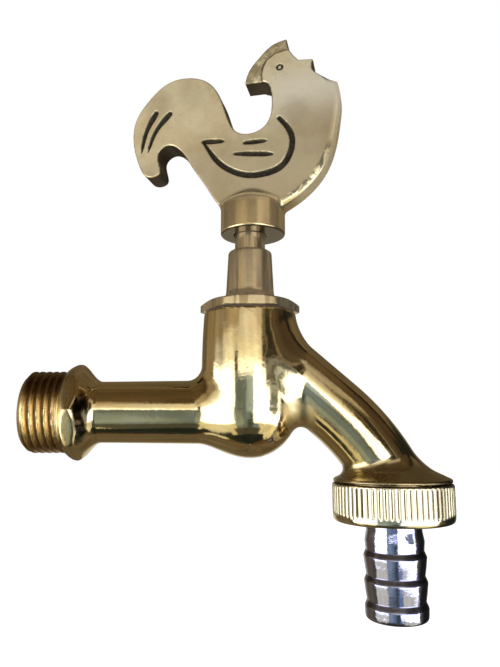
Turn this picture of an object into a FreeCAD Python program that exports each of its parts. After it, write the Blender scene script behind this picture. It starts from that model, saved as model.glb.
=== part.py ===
import FreeCAD, Part
import math
import os
import Sketcher

# Garden tap: a cast brass bib tap with a rising spindle, a rooster handle, a knurled union nut
# and a hose tail. Millimetres, +Z up. The origin is on the inlet axis where the inlet thread
# meets the collar. +X runs along the inlet towards the spout, and -Y faces the viewer.
# A height with "level" in its name is measured from the inlet axis.

doc = FreeCAD.newDocument("garden_tap")
sheet = doc.addObject("Spreadsheet::Sheet", "Sheet")

sizes = {
    # inlet thread, G 1/2
    "inlet_thread_radius": 10.4775,
    "inlet_length": 10.3,
    "inlet_chamfer": 1.3,
    "inlet_land": 1.0,
    "relief_width": 1.7,
    "relief_undercut": 0.05,
    "thread_pitch": 1.814,
    "thread_depth": 1.16,
    "thread_crest": 0.45,
    "thread_root": 0.25,
    "thread_overcut": 0.3,
    "edge_break": 0.5,
    "loose_clearance": 0.3,
    # octagonal collar and the tube behind it
    "collar_vertex_radius": 12.45,
    "collar_turned_radius": 12.6,
    "collar_rise": 2.6,
    "collar_band": 0.3,
    "collar_flare": 6.6,
    # where the arcs of the collar's rise and flare pass, as shares of their length and height.
    # The flare is one arc and then the same arc the other way round.
    "rise_middle": 0.55,
    "rise_share": 0.7,
    "flare_quarter_share": 0.854,
    "tube_radius": 7.85,
    "tube_radius_at_chamber": 8.3,
    "inlet_bore_radius": 5.0,
    # valve chamber
    "chamber_x": 47.0,
    "chamber_top_level": 25.8,
    "chamber_top_radius": 12.15,
    "chamber_swell_radius": 12.65,
    "chamber_swell_level": 12.0,
    "bulge_radius": 12.3,
    "bulge_level": 0.6,
    "chamber_fillet": 3.8,
    "lower_bore_radius": 6.2,
    "lower_floor_level": -7.0,
    "lower_roof_level": 2.0,
    "seat_bore_radius": 4.5,
    "seat_rim_radius": 5.7,
    "seat_level": 7.0,
    "seat_rise": 0.8,
    "upper_bore_radius": 9.05,
    # spout: a straight run and one bend, both round
    "spout_radius": 8.5,
    "spout_bore_radius": 5.8,
    "spout_pitch": 41.0,
    "spout_root_reach": 5.0,
    "spout_root_level": 15.4,
    "spout_bend_radius": 60.0,
    "spout_bore_start": 6.2,
    # outlet shoulder and thread, G 3/4
    "outlet_reach": 36.3,
    "shoulder_radius": 14.9,
    "shoulder_neck_radius": 7.0,
    "shoulder_neck_level": -13.3,
    "shoulder_sweep_out": 1.6,
    "shoulder_sweep_down": 1.5,
    "shoulder_slope_level": -15.9,
    "shoulder_slope_radius": 12.4,
    "shoulder_rim_level": -17.0,
    "shoulder_under_level": -17.6,
    "outlet_thread_radius": 13.2205,
    "outlet_bore_radius": 7.0,
    "outlet_end_level": -22.4,
    "outlet_chamfer": 0.8,
    # bonnet
    "bonnet_gasket_thickness": 0.5,
    "bonnet_gasket_radius": 11.6,
    "flange_across_flats": 23.2,
    "flange_thickness": 2.5,
    "flange_chamfer": 0.8,
    "bonnet_stem_radius": 9.0,
    "bonnet_stem_length": 8.6,
    "bonnet_thread_bore_radius": 5.27,
    "bonnet_shoulder_level": 32.5,
    "neck_base_radius": 6.4,
    "neck_top_radius": 5.85,
    "neck_top_level": 43.0,
    "neck_rounding": 1.2,
    "neck_flare": 3.0,
    # spindle and its O-rings
    "spindle_radius": 4.1,
    "spindle_clearance": 0.06,
    "spindle_thread_radius": 5.2,
    "spindle_thread_top_level": 26.0,
    "spindle_cone": 0.8,
    "spindle_foot_level": 12.4,
    "spindle_socket_radius": 2.56,
    "spindle_socket_depth": 9.0,
    "spindle_square": 5.7,
    "spindle_square_length": 6.6,
    "ring_groove_radius": 3.0,
    "ring_groove_width": 1.3,
    "lower_ring_level": 35.2,
    "upper_ring_level": 38.9,
    "ring_radius": 3.57,
    "ring_section_radius": 0.55,
    # valve jumper, washer, plate and nut
    "part_gap": 0.05,
    "washer_radius": 6.0,
    "washer_thickness": 3.0,
    "jumper_radius": 6.7,
    "jumper_skirt": 1.4,
    "jumper_flange_thickness": 2.0,
    "jumper_stem_radius": 2.5,
    "jumper_stem_length": 8.0,
    "jumper_stub_radius": 1.75,
    "plate_radius": 3.9,
    "plate_thickness": 0.6,
    "washer_nut_across_flats": 5.5,
    "washer_nut_thickness": 2.4,
    "stub_reach": 0.4,
    # rooster handle
    "handle_turn": -13.0,
    "boss_radius": 8.8,
    "boss_level": 47.8,
    "boss_length": 8.6,
    "boss_shoulder_rise": 3.2,
    "boss_chamfer": 0.5,
    "socket_depth": 8.0,
    "socket_mouth_depth": 1.4,
    "plate_width": 7.5,
    "plate_edge": 0.3,
    "breast_rounding": 2.0,
    "engraving_depth": 0.6,
    "engraving_width": 1.7,
    "square_clearance": 0.05,
    "screw_radius": 2.0,
    "screw_clearance": 0.05,
    "screw_length": 5.0,
    "screw_rise": 4.6,
    "screw_socket": 2.0,
    "screw_socket_depth": 2.0,
    # union nut
    "nut_wall": 2.0,
    "nut_top_level": -17.9,
    "nut_height": 9.4,
    "nut_thread_clearance": 0.07,
    "nut_lip": 1.35,
    "nut_lip_clearance": 0.5,
    "nut_top_chamfer": 0.6,
    "nut_rounding": 2.2,
    "rib_count": 64,
    "rib_groove_depth": 0.5,
    "rib_groove_width": 0.62,
    "rib_groove_flare": 1.6,
    "rib_margin": 0.7,
    # hose tail and the union gasket
    "union_gasket_thickness": 1.8,
    "union_gasket_radius": 12.8,
    "tail_flange_radius": 12.6,
    "tail_flange_thickness": 1.6,
    "tail_neck_radius": 7.2,
    "tail_bore_radius": 5.2,
    "barb_radius": 7.95,
    "barb_valley_radius": 7.4,
    "barb_first_level": -33.2,
    "barb_spacing": 6.5,
    "barb_crest_length": 2.2,
    "barb_step": 1.3,
    "barb_count": 3,
    "tail_end_level": -50.5,
    "tail_end_rounding": 1.2,
    "tail_end_taper": 0.15,
}

# outline of the rooster seen from the front, as (distance right of the boss axis, height above
# the underside of the boss). Each run is one smooth curve, and corners lie between the runs.
back_and_tail = [
    (-7.6, 6.8), (-9.9, 9.8), (-13.0, 14.8), (-16.7, 20.3), (-20.3, 25.6), (-23.9, 27.4),
    (-26.6, 25.6), (-26.4, 21.9), (-26.3, 19.2), (-29.3, 18.3), (-32.6, 22.2), (-34.5, 28.9),
    (-34.0, 36.2), (-30.1, 42.2), (-24.3, 46.9), (-18.1, 47.7), (-12.3, 45.5), (-8.8, 40.7),
    (-6.2, 33.2), (-3.7, 29.3), (0.5, 28.5), (4.5, 30.7), (6.1, 35.8), (5.9, 40.2),
    (4.8, 42.9), (2.6, 43.5),
]
comb_underside = [(2.6, 43.5), (-1.6, 43.5)]
comb_back = [(-1.6, 43.5), (-0.6, 47.1), (2.6, 51.3), (6.5, 54.7), (10.4, 55.8)]
comb_front = [(10.4, 55.8), (11.3, 52.0), (13.7, 48.7)]
beak_top = [(13.7, 48.7), (17.8, 48.3)]
beak_front = [(17.8, 48.3), (17.5, 45.5), (19.6, 43.4)]
throat = [(19.6, 43.4), (24.2, 41.3)]
breast = [
    (24.2, 41.3), (24.9, 37.0), (24.4, 30.6), (23.1, 23.7), (20.5, 17.1), (16.8, 12.3),
    (12.0, 8.5), (8.0, 6.2),
]
rooster_runs = [back_and_tail, comb_underside, comb_back, comb_front, beak_top, beak_front,
                throat, breast]

# engraved strokes on both faces, as centre lines in the same measure
wing_stroke = [
    (8.2, 31.9), (10.4, 29.1), (11.7, 25.7), (11.1, 21.5), (8.8, 18.0), (4.1, 16.2),
    (-0.1, 16.1), (-5.0, 17.8), (-9.3, 21.2), (-12.2, 25.3), (-13.4, 27.2),
]
engraved_strokes = [
    wing_stroke,
    [(-13.4, 27.4), (-7.5, 26.9)],
    [(-1.5, 25.7), (4.5, 25.7)],
    [(-4.3, 22.8), (1.0, 22.1), (6.2, 21.6)],
    [(-27.8, 37.8), (-30.4, 32.9), (-31.9, 26.0)],
    [(-23.6, 37.1), (-27.7, 32.2), (-29.9, 26.0)],
]
eye_place = (8.5, 47.1)
eye_ring_radius = 0.95

row = 1
for name, size in sizes.items():
    sheet.set(f"A{row}", name)
    sheet.set(f"B{row}", str(size))
    sheet.setAlias(f"B{row}", name)
    row += 1
doc.recompute()


def value(expression):
    """The number that an expression over the sheet has now."""
    answer = sheet.evalExpression(expression)
    return float(getattr(answer, "Value", answer))


def bind(thing, **expressions):
    """Ties properties of an object to expressions. Two underscores stand for a dot."""
    for prop, expression in expressions.items():
        thing.setExpression(prop.replace("__", "."), expression)


def move(thing, x="0", y="0", z="0", axis=(0, 0, 1), angle="0"):
    """Places an object by expressions."""
    thing.Placement = FreeCAD.Placement(FreeCAD.Vector(0, 0, 0),
                                        FreeCAD.Rotation(FreeCAD.Vector(*axis), value(angle)))
    bind(thing, Placement__Base__x=x, Placement__Base__y=y, Placement__Base__z=z)
    if angle != "0":
        bind(thing, Placement__Rotation__Angle=angle)


def body_sketch(body, name, plane, height=None):
    """An empty sketch on one of the body's own origin planes, or above it."""
    sketch = body.newObject("Sketcher::SketchObject", name)
    base = [f for f in body.Origin.OriginFeatures if f.Role == plane][0]
    sketch.AttachmentSupport = [(base, "")]
    sketch.MapMode = "FlatFace"
    if height:
        sketch.setExpression("AttachmentOffset.Base.z", height)
    return sketch


def hold(sketch, geometry, point, x, y):
    """Fixes one point of a sketch by two expressions."""
    for kind, expression in (("DistanceX", x), ("DistanceY", y)):
        index = sketch.addConstraint(
            Sketcher.Constraint(kind, -1, 1, geometry, point, value(expression)))
        sketch.setExpression(f"Constraints[{index}]", expression)


def outline(sketch, corners):
    """A closed outline. A corner is (x, y), or (x, y, mx, my) for an arc that reaches it
    through the point (mx, my). All are expressions over the sheet."""
    spots = [FreeCAD.Vector(value(c[0]), value(c[1]), 0) for c in corners]
    edges = []
    for i, corner in enumerate(corners):
        start, end = spots[i - 1], spots[i]
        if len(corner) == 4:
            through = FreeCAD.Vector(value(corner[2]), value(corner[3]), 0)
            arc = Part.Arc(start, through, end)
            index = sketch.addGeometry(arc, False)
            flipped = sketch.getPoint(index, 1).distanceToPoint(start) > 1e-6
            pin = sketch.addGeometry(Part.Point(through), True)
            hold(sketch, pin, 1, corner[2], corner[3])
            sketch.addConstraint(Sketcher.Constraint("PointOnObject", pin, 1, index))
            edges.append((index, 2, 1) if flipped else (index, 1, 2))
        else:
            index = sketch.addGeometry(Part.LineSegment(start, end), False)
            edges.append((index, 1, 2))
    for i, (index, first, last) in enumerate(edges):
        following = edges[(i + 1) % len(edges)]
        sketch.addConstraint(Sketcher.Constraint("Coincident", index, last,
                                                 following[0], following[1]))
        hold(sketch, index, last, corners[i][0], corners[i][1])


def new_body(label):
    body = doc.addObject("PartDesign::Body", label)
    body.Label = label
    return body


def turn(body, name, corners, cut=False):
    """A revolved feature about the body's own Z axis, from corners (radius, height)."""
    sketch = body_sketch(body, name + "_sketch", "XZ_Plane")
    outline(sketch, corners)
    kind = "PartDesign::Groove" if cut else "PartDesign::Revolution"
    feature = body.newObject(kind, name)
    feature.Profile = sketch
    feature.ReferenceAxis = (sketch, ["V_Axis"])
    feature.Angle = 360.0
    return feature


def prism(body, name, sides, across_flats, base, length, cut=False, first_angle=0):
    """A pad or pocket with a regular outline, which has a corner on first_angle degrees."""
    sketch = body_sketch(body, name + "_sketch", "XY_Plane", base)
    corners = []
    for i in range(sides):
        around = f"{first_angle + 360 / sides * i} deg"
        reach = f"{across_flats} / 2 / cos({180 / sides} deg)"
        corners.append((f"{reach} * cos({around})", f"{reach} * sin({around})"))
    outline(sketch, corners)
    kind = "PartDesign::Pocket" if cut else "PartDesign::Pad"
    feature = body.newObject(kind, name)
    feature.Profile = sketch
    feature.Reversed = cut
    bind(feature, Length=length)
    return feature


def revolved(name, corners, axis):
    """A solid of revolution outside any body, about X or Z, from corners (x, z)."""
    sketch = doc.addObject("Sketcher::SketchObject", name + "_sketch")
    sketch.Placement = FreeCAD.Placement(FreeCAD.Vector(0, 0, 0),
                                         FreeCAD.Rotation(FreeCAD.Vector(1, 0, 0), 90))
    outline(sketch, corners)
    solid = doc.addObject("Part::Revolution", name)
    solid.Source = sketch
    solid.Axis = axis
    solid.Base = (0, 0, 0)
    solid.Angle = 360
    solid.Solid = True
    return solid


def cylinder(name, radius, height):
    solid = doc.addObject("Part::Cylinder", name)
    bind(solid, Radius=radius, Height=height)
    return solid


def joined(name, pieces):
    whole = doc.addObject("Part::MultiFuse", name)
    whole.Shapes = pieces
    whole.Refine = False
    return whole


def less(name, base, tool):
    rest = doc.addObject("Part::Cut", name)
    rest.Base = base
    rest.Tool = tool
    return rest


S = "Sheet."
# how far an arc of a quarter turn stays inside its corner at its middle, as a share of its radius
corner_cut = "(1 - cos(45 deg))"
quarter_turn = 90


def thread_groove(name, radius, length):
    """The helical groove of a parallel thread about Z, from one pitch under height 0 upwards."""
    pitch = value("thread_pitch")
    depth = value("thread_depth")
    root = value("thread_root")
    outside = value("thread_overcut")
    slope = (pitch - value("thread_crest") - root) / 2 / depth
    half_open = root / 2 + slope * (depth + outside)
    inner = value(radius) - depth
    outer = value(radius) + outside
    corners = [(inner, -root / 2), (outer, -half_open), (outer, half_open), (inner, root / 2)]
    points = [FreeCAD.Vector(x, 0, z) for x, z in corners]
    section = Part.makePolygon(points + points[:1])
    helix = Part.makeHelix(pitch, value(length) + pitch, inner)
    groove = doc.addObject("Part::Feature", name)
    groove.Shape = Part.Wire(helix).makePipeShell([section], True, True)
    groove.Placement = FreeCAD.Placement(FreeCAD.Vector(0, 0, -pitch), FreeCAD.Rotation())
    return groove


def threaded_blank(name, radius, length, groove_length, trims):
    """A threaded cylinder about Z, whose end at height 0 and whose relief are trimmed last."""
    # the blank starts three pitches early, so that the groove runs in before the trimmed end
    over = f"3 * {S}thread_pitch"
    blank = cylinder(name + "_blank", f"{S}{radius}", f"{length} + {over}")
    move(blank, z=f"-{over}")
    rest = less(name + "_cut", blank, thread_groove(name + "_groove", radius, groove_length))
    for i, trim in enumerate(trims):
        rest = less(f"{name}_trim_{i}", rest, revolved(f"{name}_trimmer_{i}", trim, (0, 0, 1)))
    return rest


def chamber_seams(shape):
    """The numbers of the curved edges where the tube and the spout leave the chamber."""
    seams = []
    for number, edge in enumerate(shape.Edges, 1):
        if edge.Length < 1e-3 or not isinstance(edge.Curve, Part.BSplineCurve):
            continue
        middle = edge.valueAt((edge.FirstParameter + edge.LastParameter) / 2)
        reach = math.hypot(middle.x - value("chamber_x"), middle.y)
        if abs(reach - value("chamber_swell_radius")) < value("chamber_fillet"):
            seams.append(number)
    return seams


def make_tap_body():
    end = f"-{S}inlet_length"
    thread = f"{S}inlet_thread_radius"
    root = f"{thread} - {S}thread_depth - {S}relief_undercut"
    rise = f"{S}collar_rise"
    band = f"({S}collar_rise + {S}collar_band)"
    flare = f"({S}collar_rise + {S}collar_band + {S}collar_flare)"
    turned = f"{S}collar_turned_radius"
    length = f"{S}inlet_length"
    beyond = f"{thread} + 1"
    below = f"-4 * {S}thread_pitch"
    end_trim = [
        ("0", below),
        (beyond, below),
        (beyond, f"{S}inlet_chamfer + 1"),
        (f"{thread} - {S}inlet_chamfer", "0"),
        ("0", "0"),
    ]
    relief_trim = [
        (root, f"{length} - {S}inlet_land - {S}relief_width"),
        (beyond, f"{length} - {S}inlet_land - {S}relief_width"),
        (beyond, f"{length} - {S}inlet_land"),
        (root, f"{length} - {S}inlet_land"),
    ]
    shank = threaded_blank("inlet", "inlet_thread_radius", f"{length} + 1",
                           "inlet_length - inlet_land - relief_width / 2",
                           [end_trim, relief_trim])
    move(shank, x=end, axis=(0, 1, 0), angle="90")
    turned_tube = revolved("collar_and_tube_turned", [
        ("0", "0"),
        ("0", thread),
        (rise, turned, f"{rise} * {S}rise_middle",
         f"{thread} + ({turned} - {thread}) * {S}rise_share"),
        (band, turned),
        (f"{band} + {S}collar_flare / 2", f"({turned} + {S}tube_radius) / 2",
         f"{band} + {S}collar_flare / 4",
         f"{S}tube_radius + ({turned} - {S}tube_radius) * {S}flare_quarter_share"),
        (flare, f"{S}tube_radius",
         f"{flare} - {S}collar_flare / 4",
         f"{turned} - ({turned} - {S}tube_radius) * {S}flare_quarter_share"),
        (f"{S}chamber_x", f"{S}tube_radius_at_chamber"),
        (f"{S}chamber_x", "0"),
    ], (1, 0, 0))
    octagon = doc.addObject("Part::Prism", "collar_octagon")
    octagon.Polygon = 8
    bind(octagon, Circumradius=f"{S}collar_vertex_radius", Height=f"{S}chamber_x")
    octagon.Placement = FreeCAD.Placement(FreeCAD.Vector(0, 0, 0),
                                          FreeCAD.Rotation(FreeCAD.Vector(0, 1, 0), 90))
    tube = doc.addObject("Part::Common", "collar_and_tube")
    tube.Base = turned_tube
    tube.Tool = octagon

    level = f"{S}bulge_level"
    top = f"{S}chamber_top_level"
    chamber = revolved("chamber", [
        ("0", top),
        ("0", f"{level} - {S}bulge_radius"),
        (f"{S}bulge_radius", level,
         f"{S}bulge_radius * cos(45 deg)", f"{level} - {S}bulge_radius * sin(45 deg)"),
        (f"{S}chamber_top_radius", top, f"{S}chamber_swell_radius", f"{S}chamber_swell_level"),
    ], (0, 0, 1))
    move(chamber, x=f"{S}chamber_x")

    # the run and the bend together lead from the root to the outlet's axis at the shoulder's
    # underside, whatever their sizes: across and down are the two sides of that way
    pitch = f"{S}spout_pitch * 1 deg"
    across = f"({S}outlet_reach - {S}spout_root_reach)"
    down = f"({S}spout_root_level - {S}shoulder_under_level)"
    sag = f"({down} * cos({pitch}) - {across} * sin({pitch}))"
    bend_angle = f"acos(1 - {sag} / {S}spout_bend_radius)"
    swung = f"({pitch} + {bend_angle})"
    bend_reach = f"{S}spout_bend_radius * (sin({swung}) - sin({pitch}))"
    run_length = f"({across} - {bend_reach}) / cos({pitch})"

    def spout_run(name, radius, start):
        run = cylinder(name, radius, f"{run_length} - {start}")
        move(run,
             x=f"{S}chamber_x + {S}spout_root_reach + {start} * cos({pitch})",
             z=f"{S}spout_root_level - {start} * sin({pitch})",
             axis=(0, 1, 0), angle=f"90 + {S}spout_pitch")
        return run

    def spout_bend(name, radius):
        # a torus about Y whose arc starts in line with the straight run
        bend = doc.addObject("Part::Torus", name)
        bind(bend, Radius1=f"{S}spout_bend_radius", Radius2=radius,
             Angle3=bend_angle)
        move(bend,
             x=f"{S}chamber_x + {S}outlet_reach - {S}spout_bend_radius * sin({swung})",
             z=f"{S}shoulder_under_level - {S}spout_bend_radius * cos({swung})")
        start = quarter_turn - value("spout_pitch")
        tilt = FreeCAD.Rotation(FreeCAD.Vector(1, 0, 0), -quarter_turn)
        swing = FreeCAD.Rotation(FreeCAD.Vector(0, 1, 0), -start)
        bend.Placement = FreeCAD.Placement(bend.Placement.Base, swing.multiply(tilt))
        return bend

    spout = spout_run("spout_run", f"{S}spout_radius", "0")
    bend = spout_bend("spout_bend", f"{S}spout_radius")

    outlet = f"{S}chamber_x + {S}outlet_reach"
    outlet_thread = f"{S}outlet_thread_radius"
    shoulder = revolved("outlet_shoulder", [
        ("0", f"{S}shoulder_neck_level"),
        (f"{S}shoulder_neck_radius", f"{S}shoulder_neck_level"),
        (f"{S}shoulder_slope_radius", f"{S}shoulder_slope_level",
         f"{S}shoulder_neck_radius + {S}shoulder_sweep_out",
         f"{S}shoulder_neck_level - {S}shoulder_sweep_down"),
        (f"{S}shoulder_radius", f"{S}shoulder_rim_level"),
        (f"{S}shoulder_radius", f"{S}shoulder_under_level"),
        ("0", f"{S}shoulder_under_level"),
    ], (0, 0, 1))
    move(shoulder, x=outlet)
    reach = f"({S}shoulder_under_level - {S}outlet_end_level)"
    outlet_trim = [
        ("0", below),
        (f"{outlet_thread} + 1", below),
        (f"{outlet_thread} + 1", f"{S}outlet_chamfer + 1"),
        (f"{outlet_thread} - {S}outlet_chamfer", "0"),
        ("0", "0"),
    ]
    outlet_end = threaded_blank("outlet", "outlet_thread_radius", f"{reach} + 1",
                                "shoulder_under_level - outlet_end_level - thread_pitch / 2",
                                [outlet_trim])
    move(outlet_end, x=outlet, z=f"{S}outlet_end_level")
    casting = joined("casting", [chamber, tube, spout, bend])
    blended = doc.addObject("Part::Fillet", "blended_casting")
    blended.Base = casting
    doc.recompute()
    radius = value("chamber_fillet")
    blended.Edges = [(i, radius, radius) for i in chamber_seams(casting.Shape)]
    outside = joined("tap_outside", [blended, shank, shoulder, outlet_end])

    inlet_bore = cylinder("inlet_bore", f"{S}inlet_bore_radius",
                          f"{S}inlet_length + {S}chamber_x + 1")
    move(inlet_bore, x=f"{end} - 1", axis=(0, 1, 0), angle="90")
    waterway = revolved("waterway", [
        ("0", f"{S}lower_floor_level"),
        (f"{S}lower_bore_radius", f"{S}lower_floor_level"),
        (f"{S}lower_bore_radius", f"{S}lower_roof_level"),
        (f"{S}seat_bore_radius", f"{S}lower_roof_level"),
        (f"{S}seat_bore_radius", f"{S}seat_level"),
        (f"{S}seat_rim_radius", f"{S}seat_level"),
        (f"{S}seat_rim_radius", f"{S}seat_level - {S}seat_rise"),
        (f"{S}upper_bore_radius", f"{S}seat_level - {S}seat_rise"),
        (f"{S}upper_bore_radius", f"{S}chamber_top_level + 1"),
        ("0", f"{S}chamber_top_level + 1"),
    ], (0, 0, 1))
    move(waterway, x=f"{S}chamber_x")
    spout_bore = spout_run("spout_bore", f"{S}spout_bore_radius", f"{S}spout_bore_start")
    bend_bore = spout_bend("bend_bore", f"{S}spout_bore_radius")
    outlet_bore = cylinder("outlet_bore", f"{S}outlet_bore_radius",
                           f"{S}shoulder_under_level - {S}outlet_end_level + 1")
    move(outlet_bore, x=outlet, z=f"{S}outlet_end_level - 1")

    hollow = joined("tap_hollow", [inlet_bore, waterway, spout_bore, bend_bore, outlet_bore])
    tap = less("tap_body", outside, hollow)
    tap.Label = "tap_body"
    return tap


def make_bonnet():
    body = new_body("bonnet")
    under = f"{S}chamber_top_level + {S}bonnet_gasket_thickness"
    top = f"{under} + {S}flange_thickness"
    foot = f"{under} - {S}bonnet_stem_length"
    bore = f"{S}spindle_radius + {S}spindle_clearance"
    prism(body, "flange", 6, f"{S}flange_across_flats", under, f"{S}flange_thickness")
    turn(body, "stem_and_neck", [
        (f"{S}bonnet_thread_bore_radius", foot),
        (f"{S}bonnet_stem_radius - {S}edge_break", foot),
        (f"{S}bonnet_stem_radius", f"{foot} + {S}edge_break"),
        (f"{S}bonnet_stem_radius", f"{under} + {S}flange_thickness / 2"),
        (f"{S}neck_base_radius + {S}neck_flare", top),
        (f"{S}neck_base_radius", f"{top} + {S}neck_flare",
         f"{S}neck_base_radius + {S}neck_flare * {corner_cut}",
         f"{top} + {S}neck_flare * {corner_cut}"),
        (f"{S}neck_top_radius", f"{S}neck_top_level - {S}neck_rounding"),
        (f"{S}neck_top_radius - {S}neck_rounding", f"{S}neck_top_level",
         f"{S}neck_top_radius - {S}neck_rounding * {corner_cut}",
         f"{S}neck_top_level - {S}neck_rounding * {corner_cut}"),
        (bore, f"{S}neck_top_level"),
        (bore, f"{S}bonnet_shoulder_level"),
        (f"{S}bonnet_thread_bore_radius", f"{S}bonnet_shoulder_level"),
    ])
    inner = f"{S}flange_across_flats / 2"
    outer = f"{S}flange_across_flats / 2 / cos(30 deg)"
    turn(body, "flange_chamfer_cut", [
        (inner, top),
        (inner, f"{top} + 1"),
        (outer, f"{top} + 1"),
        (outer, f"{top} - {S}flange_chamfer"),
    ], cut=True)
    bore_cut = turn(body, "flange_bore", [
        ("0", f"{foot} - 1"),
        (f"{S}bonnet_thread_bore_radius", f"{foot} - 1"),
        (f"{S}bonnet_thread_bore_radius", top),
        ("0", top),
    ], cut=True)
    body.Tip = bore_cut
    move(body, x=f"{S}chamber_x")


def ring(label, inner, outer, bottom, top, x):
    body = new_body(label)
    turn(body, label + "_turned", [(inner, bottom), (outer, bottom), (outer, top), (inner, top)])
    move(body, x=x)


def make_spindle():
    body = new_body("spindle")
    foot = f"{S}spindle_foot_level"
    neck = f"{S}boss_level + 1"
    half = f"{S}ring_groove_width / 2"
    corners = [
        (f"{S}spindle_socket_radius", foot),
        (f"{S}spindle_thread_radius - {S}edge_break", foot),
        (f"{S}spindle_thread_radius", f"{foot} + {S}edge_break"),
        (f"{S}spindle_thread_radius", f"{S}spindle_thread_top_level"),
        (f"{S}spindle_radius", f"{S}spindle_thread_top_level + {S}spindle_cone"),
    ]
    for level in ("lower_ring_level", "upper_ring_level"):
        corners += [
            (f"{S}spindle_radius", f"{S}{level} - {half}"),
            (f"{S}ring_groove_radius", f"{S}{level} - {half}"),
            (f"{S}ring_groove_radius", f"{S}{level} + {half}"),
            (f"{S}spindle_radius", f"{S}{level} + {half}"),
        ]
    corners += [
        (f"{S}spindle_radius", neck),
        ("0", neck),
        ("0", f"{foot} + {S}spindle_socket_depth"),
        (f"{S}spindle_socket_radius", f"{foot} + {S}spindle_socket_depth"),
    ]
    turn(body, "spindle_turned", corners)
    square = prism(body, "spindle_square_end", 4, f"{S}spindle_square", f"{neck} - 1",
                   f"{S}spindle_square_length + 1", first_angle=45)
    body.Tip = square
    move(body, x=f"{S}chamber_x", angle=f"{S}handle_turn")


def make_spindle_rings():
    rings = []
    for place in ("lower", "upper"):
        one = doc.addObject("Part::Torus", place + "_ring")
        bind(one, Radius1=f"{S}ring_radius", Radius2=f"{S}ring_section_radius")
        move(one, x=f"{S}chamber_x", z=f"{S}{place}_ring_level")
        one.Label = f"spindle_o_ring_{place}"
        rings.append(one)
    return rings


def make_jumper():
    body = new_body("valve_jumper")
    washer = f"{S}seat_level + {S}part_gap"
    seat = f"{washer} + {S}washer_thickness"
    back = f"{seat} + {S}jumper_flange_thickness"
    tip = f"{washer} - {S}plate_thickness - {S}washer_nut_thickness - {S}stub_reach"
    skirt = f"{S}washer_radius + {S}part_gap"
    turn(body, "jumper_turned", [
        ("0", tip),
        (f"{S}jumper_stub_radius", tip),
        (f"{S}jumper_stub_radius", seat),
        (skirt, seat),
        (skirt, f"{seat} - {S}jumper_skirt"),
        (f"{S}jumper_radius", f"{seat} - {S}jumper_skirt"),
        (f"{S}jumper_radius", f"{back} - {S}edge_break"),
        (f"{S}jumper_radius - {S}edge_break", back),
        (f"{S}jumper_stem_radius", back),
        (f"{S}jumper_stem_radius", f"{back} + {S}jumper_stem_length - {S}edge_break"),
        (f"{S}jumper_stem_radius - {S}edge_break", f"{back} + {S}jumper_stem_length"),
        ("0", f"{back} + {S}jumper_stem_length"),
    ])
    move(body, x=f"{S}chamber_x")
    bore = f"{S}jumper_stub_radius + {S}part_gap"
    ring("valve_washer", bore, f"{S}washer_radius", washer, seat, f"{S}chamber_x")
    ring("valve_washer_plate", bore, f"{S}plate_radius", f"{washer} - {S}plate_thickness",
         washer, f"{S}chamber_x")

    nut = new_body("valve_washer_nut")
    under = f"{washer} - {S}plate_thickness - {S}washer_nut_thickness"
    prism(nut, "nut_hexagon", 6, f"{S}washer_nut_across_flats", under,
          f"{S}washer_nut_thickness")
    hole = turn(nut, "nut_bore", [
        ("0", f"{under} - 1"), (bore, f"{under} - 1"),
        (bore, f"{washer} + 1"), ("0", f"{washer} + 1"),
    ], cut=True)
    nut.Tip = hole
    move(nut, x=f"{S}chamber_x")


def curve_through(points, side=0.0):
    """A smooth curve or a line through points beside the boss, in the plane Y = side."""
    lift = value("boss_level")
    spots = [FreeCAD.Vector(across, side, lift + up) for across, up in points]
    if len(spots) == 2:
        return Part.makeLine(*spots)
    curve = Part.BSplineCurve()
    curve.interpolate(spots)
    return curve.toShape()


def groove_along(points, face):
    """A round-bottomed stroke with round ends, cut into the plate's face at Y = face."""
    width = value("engraving_width")
    depth = value("engraving_depth")
    radius = (width ** 2 / 4 + depth ** 2) / (2 * depth)
    out = radius - depth
    line = curve_through(points, face + math.copysign(out, face))
    start = line.valueAt(line.FirstParameter)
    along = line.tangentAt(line.FirstParameter)
    ring = Part.Wire(Part.makeCircle(radius, start, along))
    stroke = Part.Wire(line).makePipeShell([ring], True, False)
    ends = [Part.makeSphere(radius, vertex.Point) for vertex in line.Vertexes]
    return stroke.multiFuse(ends)


def face_edges(plate):
    """The edges around the plate's two flat faces, split into the breast's and the rest."""
    edges = [e for f in plate.Faces if abs(f.normalAt(0, 0).y) > 0.99 for e in f.Edges]
    height = max(up for run in rooster_runs for _, up in run)
    tall = [e.BoundBox.ZLength > height / 2 and e.BoundBox.XMin > 0 for e in edges]
    return ([e for e, is_breast in zip(edges, tall) if is_breast],
            [e for e, is_breast in zip(edges, tall) if not is_breast])


def rooster_shape():
    width = value("plate_width")
    closing = [rooster_runs[-1][-1], rooster_runs[0][0]]
    edges = [curve_through(run, -width / 2) for run in rooster_runs + [closing]]
    plate = Part.Face(Part.Wire(edges)).extrude(FreeCAD.Vector(0, width, 0))
    plate = plate.makeFillet(value("breast_rounding"), face_edges(plate)[0])
    return plate.makeFillet(value("plate_edge"), face_edges(plate)[1])


def engraving_shape():
    cuts = []
    for face in (-value("plate_width") / 2, value("plate_width") / 2):
        cuts += [groove_along(points, face) for points in engraved_strokes]
        eye = FreeCAD.Vector(eye_place[0], face, value("boss_level") + eye_place[1])
        cuts.append(Part.makeTorus(eye_ring_radius, value("engraving_depth"), eye,
                                   FreeCAD.Vector(0, 1, 0)))
    return Part.makeCompound(cuts)


def shape_feature(name, shape):
    feature = doc.addObject("Part::Feature", name)
    feature.Shape = shape
    return feature


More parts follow.
